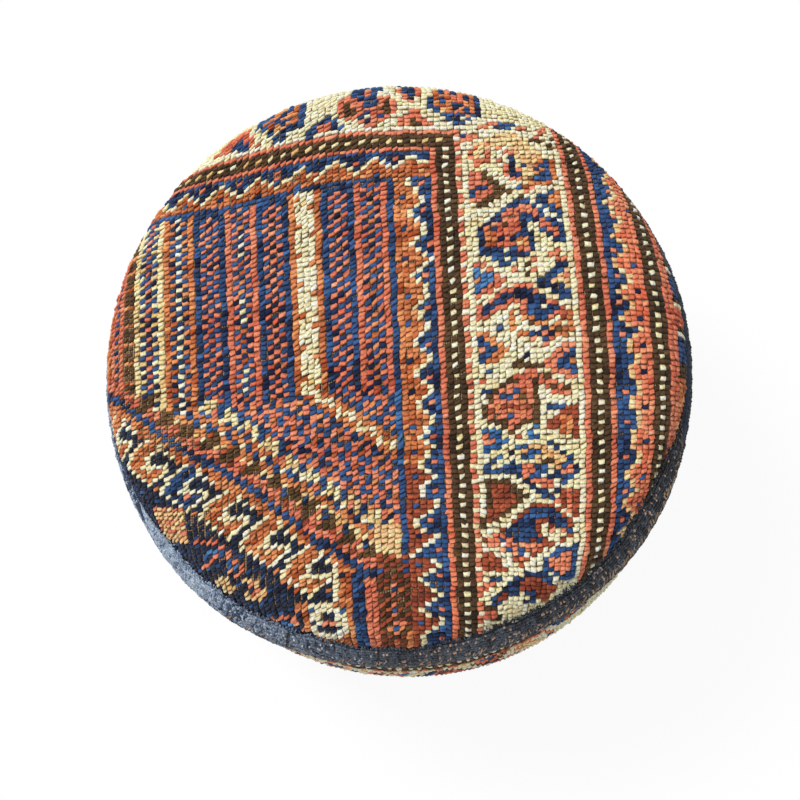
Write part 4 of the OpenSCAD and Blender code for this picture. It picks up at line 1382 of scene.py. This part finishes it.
def ring_point(u, v, depth, ring_z):
    """A point of a piping: u along the ring and v round the cord (mm), v = 0 outermost."""
    turn, a = u * MM / RING_R, v * MM / PIPING_R
    pucker = 0.15 * MM * np.sin(110 * turn + 2 * a) + 0.1 * MM * np.sin(37 * turn)
    reach = PIPING_R + pucker - depth + plump(turn) * (ring_z > TOP_RING_Z - MM)
    point = polar(RING_R + reach * np.cos(a), turn, ring_z + reach * np.sin(a))
    point[..., 2] = np.maximum(point[..., 2], 0.05 * MM)
    return point


def velvet_colour(turn):
    """The crushed pile's colours: painted sheen in pale blue to the lower left, painted shade to the upper
    right, a darker warm grey to the lower right, and streaks.
    """
    # painted light: the cosine paints sheen, pale towards the lower left, and shade, dark towards the upper
    # right; the two sines are broad mottles of the crushed pile
    lit_side_and_mottle = 0.75 * np.cos(turn + math.radians(132)) + 0.2 * np.sin(7 * turn) + 0.15 * np.sin(19 * turn + 1)
    streak = np.interp(turn % CIRCLE, np.linspace(0, CIRCLE, 700), rng.normal(0, 0.45, 700))
    tone = lit_side_and_mottle + 0.08 + streak + rng.normal(0, 0.62, turn.size)
    pale_nap_and_sheen, slate, deep, warm_dark = (dyed(code) for code in VELVET_HEX.values())
    warm = np.clip(1.6 * np.cos(turn + math.radians(42)), 0, 1)[:, None]
    up, down = np.clip(tone, 0, 1)[:, None] * (1 - 0.8 * warm), np.clip(-tone, 0, 1)[:, None]
    return np.clip((slate * (1 - warm) + warm_dark * warm) * (1 - up - down) + pale_nap_and_sheen * up + deep * down, 0.004, 1)


for shade, code in VELVET_HEX.items():
    print(shade, "velvet as linear light:", [round(v, 3) for v in linear(code)[:3]])


# %% Short nap on the cord
def nap_on_ring(ring_z, first_deg, last_deg, w=1.7, h=2.6):
    """Short nap all over the part of a piping that shows. It is flattest where the rug is pulled over it."""
    across = PIPING_R / MM * math.radians(1)
    u, v = np.meshgrid(np.arange(0, RING_L - w / 2, RING_L / round(RING_L / w)),
                       np.arange(first_deg * across, last_deg * across, h))
    u, v = u.ravel(), v.ravel()
    free = (ring_z < TOP_RING_Z - MM) | (pulled_down(u * MM / RING_R) > 0.6) | (v < 22 * across)
    u, v = u[free], v[free]
    n = u.size
    under = np.clip((v / across - 20) / 30, 0, 1)
    flat = (0.1 + 0.6 * under) * MM * pulled_down(u * MM / RING_R) * (ring_z == TOP_RING_Z)
    # the last two numbers set the painted shade at the nap's root and the painted highlight at its tips
    return tufts(u, v, w, h, velvet_colour(u * MM / RING_R),
                 lambda u, v, depth: ring_point(u, v, depth, ring_z),
                 lambda u, v: np.stack([u / RING_L, 0.45 + v / RING_L], -1), rng.normal(0, 0.5, n),
                 rng.uniform(0.2, 1.1, n), NAP_ROOT, rng.normal(0.0, 0.12, n) * MM - flat,
                 base=0.75, painted_tip_highlight=1.05)


# %% [markdown]
# Along the near side the velvet strip was left wide. It runs from the piping up over the rug's edge,
# swells a little between the two, and at its ends it turns down into the seam. One sheet of cloth carries
# a nap of its own. Pale and tan hairs of the rug stick to it.

# %% The wide strip
STRIP_SPAN = 24.0
SKIN_DEG, NAP_DEG, NAP_STEPS = 81, 77, 440
TAN_FLECK, PALE_FLECK, TAN_THREAD = "#d8b49a", "#c9d2dc", "#d9b48c"
FLECK_DEG = 48


def fold_face(grid_t, grid_s, lift=0.0):
    """A point of the flat of the velvet strip, which runs from the piping up over the rug's edge."""
    hidden = pulled_down(grid_t)
    ring = ring_point(grid_t * RING_R / MM, np.radians(24 + 90 * hidden) * PIPING_R / MM,
                      (0.6 * hidden - 0.4) * MM, TOP_RING_Z)
    run = 219 + 8 * hidden - fold_width(grid_t)
    high = top_point(run * np.cos(grid_t), run * np.sin(grid_t), (4 * hidden - 0.9) * MM)
    crease = 0.5 * MM * np.sin(grid_t * 61 + 5 * grid_s) + 0.4 * MM * np.sin(grid_t * 143 - 3 * grid_s)
    swell = (2.4 * MM + crease) * np.sin(math.pi * grid_s) * (1 - hidden)
    face = ring * (1 - grid_s[..., None]) + high * grid_s[..., None]
    outward = np.stack([np.cos(grid_t) * 0.7, np.sin(grid_t) * 0.7, 0.7 + 0 * grid_t], -1)
    return face + outward * (swell + lift)[..., None]


def fold():
    """The velvet strip's cloth along the near side, with the nap that stands on it."""
    turn = np.radians(np.linspace(NEAR_DEG - SKIN_DEG, NEAR_DEG + SKIN_DEG, NAP_STEPS))
    grid_t, grid_s = np.meshgrid(turn, np.linspace(0, 1, 11), indexing="ij")
    points, faces = cloth(fold_face(grid_t, grid_s), fold_face(grid_t, grid_s, -1.2 * MM))
    both_faces = np.r_[grid_t.ravel(), grid_t.ravel()]
    colour = velvet_colour(both_faces)
    fleck = (rng.random(len(colour)) < 0.05) & (np.cos(both_faces + math.radians(FLECK_DEG)) > 0.75)
    colour[fleck] = dyed(TAN_FLECK)
    uv = np.stack([grid_t / CIRCLE % 1, 0.6 + 0.1 * grid_s], -1).reshape(-1, 2)
    skin = (points, faces, colour, np.concatenate([uv, uv + (0, 0.12)]))
    turn = np.radians(np.linspace(NEAR_DEG - NAP_DEG, NEAR_DEG + NAP_DEG, NAP_STEPS))
    nap_t, nap_s = np.meshgrid(turn, np.linspace(0.05, 0.97, 9))
    nap_t, nap_s = nap_t.ravel(), nap_s.ravel()
    n = nap_t.size
    colour = velvet_colour(nap_t)
    fleck = rng.random(n) < 0.06
    warm = np.cos(nap_t + math.radians(FLECK_DEG)) > 0.7
    colour[fleck & warm] = dyed(TAN_FLECK)
    colour[fleck & ~warm] = dyed(PALE_FLECK)

    def place(a, b, depth):
        return fold_face(a * MM / RING_R, np.clip(b / STRIP_SPAN, 0, 1), 0.25 * MM - depth)

    def uv_of(a, b):
        return np.stack([a * MM / RING_R / CIRCLE % 1, 0.5 + b / STRIP_SPAN / 16], -1)

    # the last two numbers set the painted shade at the nap's root and the painted highlight at its tips
    nap = tufts(nap_t * RING_R / MM, nap_s * STRIP_SPAN, 1.3, 2.7, colour, place, uv_of,
                rng.normal(0, 0.3, n), rng.uniform(-1.2, 0.4, n), 0.4 * MM,
                rng.normal(0.35, 0.2, n) * MM, base=0.55, painted_tip_highlight=1.35)
    return [skin, nap, whip_stitches(place)]


print("width of the strip on the rug, mm:", round(float(fold_width(math.radians(NEAR_DEG))), 1))


# %% Whip stitches
DENSE_DEG, SPARSE_DEG = -64, -126


def whip_stitches(place):
    """Tan wool stitches over the strip's outer edge, close together to the right and sparse to the left."""
    u = np.arange(0, RING_L, 2.4)
    u = u + rng.normal(0, 0.5, u.size)
    degrees = (np.degrees(u * MM / RING_R) + 180) % 360 - 180
    sparse = np.where((degrees > SPARSE_DEG) & (degrees < 0), 0.3, 0)
    chance = np.where((degrees > DENSE_DEG) & (degrees < 0), 0.85, sparse)
    u = u[rng.random(u.size) < chance]
    n = u.size
    tan = dyed(TAN_THREAD) * rng.uniform(0.55, 1.15, (n, 1))

    def uv_of(a, b):
        return np.stack([a * MM / RING_R / CIRCLE % 1, 0.38 + b / 400], -1)

    print("whip stitches:", n)
    # the last two numbers set the painted shade where a stitch enters the cloth and the painted highlight on
    # it
    return tufts(u, rng.normal(7.2, 0.7, n), 0.9, rng.uniform(4.0, 8.5, n), tan, place, uv_of,
                 rng.normal(0.3, 0.2, n), 0, 0.3 * MM, rng.normal(0.9, 0.15, n) * MM,
                 base=0.7, painted_tip_highlight=1.2)


# %% The strip's ragged edge
EDGE_RUN = 200.0


def ragged_edge():
    """Longer nap along the strip's inner edge, which wanders over the first rows of the rug."""
    parts = []
    for k in range(3):
        u = np.arange(0, RING_L, 1.1) + rng.uniform(-0.3, 0.3, int(math.ceil(RING_L / 1.1)))
        turn = u * MM / RING_R
        turn = turn[pulled_down(turn) < 0.9]
        n = turn.size
        run = 221 - fold_width(turn) - 1.8 * k + rng.normal(0, 1.5, n)

        def place(a, reach, depth):
            return top_point(reach * np.cos(a / EDGE_RUN), reach * np.sin(a / EDGE_RUN), depth)

        def uv_of(a, reach):
            return np.stack([a / EDGE_RUN / CIRCLE % 1, 0.3 + 0.01 * k + (reach - EDGE_RUN) / 5000], -1)

        # the last two numbers set the painted shade at the nap's root and the painted highlight at its tips
        parts.append(tufts(turn * EDGE_RUN, run, 0.95, rng.uniform(2.0, 5.0, n), velvet_colour(turn),
                           place, uv_of, rng.normal(0, 0.35, n), rng.uniform(0.5, 2.6, n), 0.1 * MM,
                           rng.uniform(0.5, 1.1, n) * MM, base=0.7, painted_tip_highlight=1.2))
    return parts


# %% The two pipings' velvet
def velvet_ring(name, node, ring_z, flange_z, first_deg, last_deg, more=()):
    """A piping's whole velvet: nap, sleeve, and the flange that is caught in the seam."""
    nap = nap_on_ring(ring_z, first_deg, last_deg)
    slate = dyed(VELVET_HEX["slate"])
    steps, sides = 480, 20
    turn = np.linspace(0, RING_L, steps + 1)[:-1]
    round_cord = np.linspace(0, CIRCLE * PIPING_R / MM, sides + 1)[:-1]
    grid_u, grid_v = np.meshgrid(turn, round_cord, indexing="ij")
    sleeve = ring_point(grid_u, grid_v, 0.6 * MM, ring_z)
    # painted shade: the sleeve under the nap is the slate darkened to 0.4
    skin = (sleeve.reshape(-1, 3), quads(steps, sides, True, True),
            np.tile(slate * 0.4, (steps * sides, 1)),
            np.stack([grid_u / RING_L, 0.9 + grid_v / RING_L], -1).reshape(-1, 2))
    outer_r, ply = RING_R - 6.8 * MM, 0.8 * MM
    flange = lathe([(FLANGE_R, flange_z - ply), (outer_r, flange_z - ply),
                    (outer_r, flange_z + ply), (FLANGE_R, flange_z + ply)], 360)
    count = len(flange[0].reshape(-1, 3))
    # painted shade: the flange in the seam is the slate darkened to 0.5
    seam = (flange[0].reshape(-1, 3), flange[1], np.tile(slate * 0.5, (count, 1)),
            np.tile((0.5, 0.97), (count, 1)) + 0.01 * rng.random((count, 2)))
    piece = build(name, [nap, *more, skin, seam], velvet)
    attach(piece, "pouf")
    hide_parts(node)
    print(name, "faces:", len(piece.data.polygons))


FLANGE_R = SIDE_X - SIDE_R + math.sqrt((SIDE_R - RUG_T) ** 2 - (TOP_RING_Z - SIDE_Z) ** 2)
velvet_ring("velvet_top_piping", "top_piping_velvet", TOP_RING_Z, TOP_RING_Z, -130, 150,
            [*fold(), *ragged_edge()])
velvet_ring("velvet_bottom_piping", "bottom_piping_velvet", LOW_RING_Z, 8.0 * MM, -75, 130)


# %% [markdown]
# The cord inside is three strands of cotton laid together. A plain ring would do where the velvet covers
# it, but when the cover is taken apart the cord lies on the table, so its section gets three lobes that
# turn as it runs.

# %% Cord in the pipings
def cord_ring(name, node, ring_z):
    """A three-strand cord: its section has three lobes that turn as it runs."""
    turns, steps, sides = 30, 960, 18
    turn = np.arange(steps) * CIRCLE / steps
    a = np.arange(sides) * CIRCLE / sides
    grid_t, grid_a = np.meshgrid(turn, a, indexing="ij")
    reach = (CORD_R - 0.1 * MM) * (0.87 + 0.13 * np.cos(3 * (grid_a - turns * grid_t)))
    points = polar(RING_R + reach * np.cos(grid_a), grid_t, ring_z + reach * np.sin(grid_a))
    piece = build(name, [(points, quads(steps, sides, True, True))], cotton_cord)
    print(name, "length, mm:", round(CIRCLE * RING_R / MM))
    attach(piece, "pouf")
    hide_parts(node)


cord_ring("cord_top_piping", "top_piping_cord", TOP_RING_Z)
cord_ring("cord_bottom_piping", "bottom_piping_cord", LOW_RING_Z)

# %% [markdown]
# ## Filling
#
# Under the rug lie a cotton liner, a layer of wadding and a block of foam. They follow the form of the rug
# at their own depths, so the same arcs give their sections.

# %% Liner, wadding and foam
LINER, WAD, CORE = 6.3 * MM, 7.4 * MM, 15.7 * MM
fill_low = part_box("foam_core")[0].z
liner_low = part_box("liner_base")[0].z
NECK_Z = TOP_RING_Z + 1.5 * MM
print("depths under the rug's face, mm:", [round(depth / MM, 1) for depth in (LINER, WAD, CORE)])


def lumps(size):
    """A quilted unevenness for a soft layer."""
    return lambda turn, r, z: (size * np.sin(23 * turn + 90 * z) * np.sin(140 * z),
                               size * np.sin(17 * turn + 80 * r))


def inner_piece(name, node, outline, finish, wobble):
    """One soft layer under the rug, in the place of its CAD node."""
    piece = mend(build(name, [lathe(outline, 160, wobble)], finish))
    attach(piece, "pouf")
    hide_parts(node)


def wall(outer, inner, low):
    """The section of an upright layer between two depths."""
    return side_arc(outer, NECK_Z, low) + side_arc(inner, NECK_Z, low)[::-1]


# %% The layers, from the outside in
LINER_T, WAD_T = 0.8 * MM, 8 * MM
inner_piece("liner_cotton_top", "liner_top", top_arc(LINER) + top_arc(LINER + LINER_T)[::-1], muslin,
            follow_top)
inner_piece("liner_cotton_side", "liner_side", wall(LINER, LINER + LINER_T, liner_low), muslin,
            None)
base_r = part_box("liner_base")[1].x
plate = [(0, liner_low), (base_r, liner_low), (base_r, liner_low + LINER_T), (0, liner_low + LINER_T)]
inner_piece("liner_cotton_base", "liner_base", plate, muslin, None)
inner_piece("wadding_sheet_top", "wadding_top", top_arc(WAD) + top_arc(WAD + WAD_T)[::-1], wadding,
            follow_top)
inner_piece("wadding_sheet_side", "wadding_side", wall(WAD, WAD + WAD_T, fill_low), wadding,
            lumps(0.15 * MM))
inner_piece("foam_block", "foam_core",
            top_arc(CORE) + side_arc(CORE, NECK_Z, fill_low) + [(0, fill_low)], foam, None)
print("foam block, mm across:", round(2 * side_arc(CORE, NECK_Z, fill_low)[13][0] / MM))

# %% [markdown]
# ## Base and zip
#
# The base is canvas in two halves, turned back in a hem along the zip. The zip's tapes are twill and its
# teeth are two coils of nylon wire. The CAD holds each coil as a plain bar, and here it gets its real
# winding.

# %% Canvas halves
cloth_low, cloth_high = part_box("base_cloth_back")
SLOT_X, SLOT_Y, BUTT_Y = 155 * MM, 5.6 * MM, 0.15 * MM
HEM_W, HEM_T, CANVAS_T = 9 * MM, 0.5 * MM, 0.55 * MM
BASE_R = cloth_high.x


def half_grid(side, near, far_r, half_l, columns=121, rows=36):
    """Points of a half disc: x across the zip's line, and y from the line out to the rim."""
    x = np.unique(np.r_[np.linspace(-half_l, half_l, columns), -SLOT_X - 0.01 * MM, -SLOT_X, SLOT_X,
                        SLOT_X + 0.01 * MM])
    start = np.where(abs(x) <= SLOT_X, near, BUTT_Y)
    stop = np.maximum(np.sqrt(np.maximum(far_r ** 2 - x ** 2, 0)), start + 0.02 * MM)
    share = np.linspace(0, 1, rows)[:, None]
    return np.broadcast_to(x, (rows, x.size)), side * (start + share * (stop - start))


def canvas_half(label, node, side):
    """One half of the base, with a hem of the same canvas along the zip."""
    x, y = half_grid(side, SLOT_Y, BASE_R, BASE_R - 0.2 * MM)
    sag = 0.25 * MM * np.sin(x * 60) * np.sin(np.abs(y) * 34) - 0.12 * MM
    face = np.stack([x, y, cloth_low.z + 0.12 * MM + np.clip(sag, -0.12 * MM, 0.1 * MM)], -1)
    inner = face + np.array([0, 0, CANVAS_T])
    order = slice(None) if side > 0 else slice(None, None, -1)
    piece = mend(build("canvas_" + label, [cloth(face[:, order], inner[:, order])], canvas))
    hem_x, hem_y = np.meshgrid(np.linspace(-SLOT_X, SLOT_X, 160), SLOT_Y + HEM_W * np.linspace(0, 1, 5))
    edge = np.abs(hem_y - SLOT_Y - HEM_W / 2) > HEM_W / 2 - 0.1 * MM
    low = cloth_low.z - HEM_T + np.where(edge, 0.3 * MM, 0.05 * MM * np.sin(hem_x * 900))
    outside = np.stack([hem_x, side * hem_y, low], -1)
    inside = np.stack([hem_x, side * hem_y, low * 0 + cloth_low.z + 0.05 * MM], -1)
    hem = mend(build("hem_" + label, [cloth(outside, inside)], canvas))
    for made in (piece, hem):
        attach(made, "pouf")
    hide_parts(node)
    print("canvas", label, "faces:", len(piece.data.polygons))


canvas_half("front", "base_cloth_front", -1)
canvas_half("back", "base_cloth_back", 1)


# %% Zip tapes and coils
def zip_half(label, side):
    """One tape of the zip with its coil of nylon wire."""
    low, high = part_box("zip_tape_" + label)
    x, y = np.meshgrid(np.linspace(low.x, high.x, 240), np.linspace(low.y, high.y, 8))
    ripple = 0.04 * MM * np.sin(x * 420)
    under = np.stack([x, y, low.z + 0.06 * MM + ripple], -1)
    over = np.stack([x, y, high.z - 0.06 * MM + ripple], -1)
    tape = mend(build("tape_" + label, [cloth(under, over)], twill_tape))
    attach(tape, "pouf")
    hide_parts("zip_tape_" + label)
    low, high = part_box("zip_coil_" + label)
    middle = (low + high) / 2
    pitch, wire = 1.5 * MM, 0.36 * MM
    turns = (high.x - low.x - 2 * wire) / pitch
    a = np.arange(0, turns * CIRCLE, math.pi / 6)
    reach = (high.y - low.y) / 2 - wire
    line = np.stack([low.x + wire + pitch * a / CIRCLE, middle.y + side * reach * np.cos(a),
                     middle.z + reach * np.sin(a)], -1)
    coil = mend(build("coil_" + label, [tube(line, wire)], nylon))
    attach(coil, "pouf")
    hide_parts("zip_coil_" + label)
    print("coil", label, "turns:", round(turns))


zip_half("front", -1)
zip_half("back", 1)


# %% [markdown]
# Thread is what holds a sewn thing together, and the eye misses it where it is gone. A bump could fake it,
# but a stitch stands off the cloth, so each is a short tube that dips into the cloth at its ends.

# %% Stitches along the hems
def stitch_row(start, end, pitch, dip, gauge):
    """A row of lock stitches from start to end: each a short thread that dips into the cloth at its ends."""
    start, end, dip = np.array(start), np.array(end), np.array(dip)
    count = int(np.linalg.norm(end - start) / pitch)
    parts = []
    for k in range(count):
        a, b = start + (end - start) * (k + 0.12) / count, start + (end - start) * (k + 0.88) / count
        bend = (b - a) * 0.15
        line = [a + dip, a + bend, (a + b) / 2 - 0.2 * dip, b - bend, b + dip]
        parts.append(tube(line, gauge, 5))
    return joined(parts)


rows = []
for side in (-1, 1):
    for y in (SLOT_Y + 1.6 * MM, SLOT_Y + HEM_W - 1.4 * MM):
        z = cloth_low.z - HEM_T - 0.05 * MM
        rows.append(stitch_row((-SLOT_X + 2 * MM, side * y, z), (SLOT_X - 2 * MM, side * y, z), 3.2 * MM,
                               (0, 0, 0.5 * MM), 0.22 * MM))
hem_stitches = build("hem_stitches", [joined(rows)], thread)
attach(hem_stitches, "pouf")
print("hem stitches, faces:", len(hem_stitches.data.polygons))

# %% Stitches across the side's seams
parts = []
for k in range(3):
    middle = math.radians(SEAM_DEG + 120 * k)
    for up in np.arange(-STRIP_H / 2 + 4, STRIP_H / 2 - 4, 5.5):
        path = np.array([(-3.2, up - 1.4), (-1.6, up - 0.7), (0, up), (1.6, up + 0.7), (3.2, up + 1.4)])
        sink = np.array([2.6, 0.9, 0.5, 0.9, 2.6]) * MM
        parts.append(tube(side_point(path[:, 0], path[:, 1], sink, middle), 0.42 * MM, 6))
seams = build("seam_stitches", [joined(parts)], thread)
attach(seams, "pouf")
print("stitches across the seams:", len(parts))

# %% [markdown]
# ## What each cloth was cut to
#
# Rug, liner, canvas and tape are flat cloth before they are sewn. The round cuts of the rug's top, the
# liner's top and the liner's base are worked out here. A round piece is given as the square round it and
# its own area. The wadding and the foam are stuffing, and so is a piping, which is velvet packed with cord.

# %% Work out the round cuts
def disc(r):
    """The flat size and the area of a round cut."""
    return (2 * r, 2 * r), math.pi * r * r


rug_r = TOP_L - 0.3 * MM
liner_r = (CROWN_R - LINER) * (math.pi / 2 - TANGENT) + (SHOULDER_R - LINER) * (TANGENT - EDGE_A)
print("liner's round cut, mm:", round(2 * liner_r / MM))
flat, area = disc(rug_r)
flat, area = disc(liner_r)
flat, area = disc(base_r)

# %% [markdown]
# The slider, the pull and the stops are metal, so their CAD solids are already right. They keep their
# meshes and get the brass.

# %% Brass parts of the zip
for name in ("zip_slider", "zip_pull", "zip_top_stops", "zip_bottom_stop"):
    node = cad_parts[name]
    node.data.materials.clear()
    node.data.materials.append(brass)
    print(name, "faces:", len(node.data.polygons))


# %% [markdown]
# ## Light, floor and camera
#
# The photograph shows the pouf from above on plain white. A broad lamp from the upper left gives the tufts
# a bright and a dark side, and the white world fills in. Together they light a level face at about the
# strength that shows a colour as it is written. The floor looks white to the camera and still takes a soft
# shadow.

# %% World
world = bpy.data.worlds.new("studio")
bpy.context.scene.world = world
world.use_nodes = True
tree = world.node_tree
tree.nodes.clear()
SKY, FILL = 1.0, 0.54
path = add(tree, "ShaderNodeLightPath")
seen = add(tree, "ShaderNodeMath", {
    0: path.outputs["Is Camera Ray"], 1: path.outputs["Is Glossy Ray"]}, operation="MAXIMUM")
level = add(tree, "ShaderNodeMapRange", {"Value": seen.outputs[0], "To Min": FILL, "To Max": SKY})
sky = add(tree, "ShaderNodeBackground", {"Color": grey(1.0), "Strength": level.outputs[0]})
add(tree, "ShaderNodeOutputWorld", {"Surface": sky.outputs[0]})
print("fill from the world:", FILL)

# %% White paper under the pouf
paper, tree = material("white_studio_paper")
path = add(tree, "ShaderNodeLightPath")
diffuse = add(tree, "ShaderNodeBsdfDiffuse", {"Color": grey(0.82)})
glow = add(tree, "ShaderNodeEmission", {"Color": grey(1.0), "Strength": 1.0})
share = add(tree, "ShaderNodeMath", {0: path.outputs["Is Camera Ray"], 1: 0.93}, operation="MULTIPLY")
both = add(tree, "ShaderNodeMixShader", {0: share.outputs[0], 1: diffuse.outputs[0], 2: glow.outputs[0]})
add(tree, "ShaderNodeOutputMaterial", {"Surface": both.outputs[0]})
bpy.ops.mesh.primitive_plane_add(size=12)
floor = bpy.context.object
floor.name = "studio_floor"
floor.data.materials.append(paper)
print("paper, m across:", round(floor.dimensions.x))

# %% Lamps
key = bpy.data.objects.new("window_light", bpy.data.lights.new("window_light", "SUN"))
key.data.energy = 3.0
key.data.angle = math.radians(18)
key.rotation_euler = Vector((0.55, -0.45, -0.9)).to_track_quat("-Z", "Y").to_euler()
bpy.context.scene.collection.objects.link(key)
print("window light:", key.data.energy)

# %% [markdown]
# The photograph looks down on the pouf at 79 degrees, from a little to the right, and from near by: about
# a metre. Its camera is found by setting the render against it: the disc's edges give the direction, and
# the sliver of side below the piping gives the distance.

# %% Camera
ELEVATION, AZIMUTH = math.radians(79), math.radians(15.7)
AIM = Vector((5.64, -33.12, 254.0)) * MM
DISTANCE, FOCAL_PX, FRAME_PX, SENSOR_MM = 1.0, 1543, 800, 36.0
back = Vector((math.cos(ELEVATION) * math.sin(AZIMUTH), -math.cos(ELEVATION) * math.cos(AZIMUTH),
               math.sin(ELEVATION)))
right = (-back).cross(Vector((0, 1, 0))).normalized()
upward = right.cross(-back)
camera = bpy.data.objects.new("camera", bpy.data.cameras.new("camera"))
camera.data.sensor_width = SENSOR_MM
camera.data.lens = SENSOR_MM * FOCAL_PX / FRAME_PX
camera.matrix_world = Matrix((
    (right.x, upward.x, back.x, AIM.x + back.x * DISTANCE),
    (right.y, upward.y, back.y, AIM.y + back.y * DISTANCE),
    (right.z, upward.z, back.z, AIM.z + back.z * DISTANCE),
    (0, 0, 0, 1)))
bpy.context.scene.collection.objects.link(camera)
bpy.context.scene.camera = camera
bpy.context.scene.view_settings.view_transform = "Standard"
bpy.context.view_layer.update()
print("lens, mm:", round(camera.data.lens, 1), "height, m:", round(camera.location.z, 2))
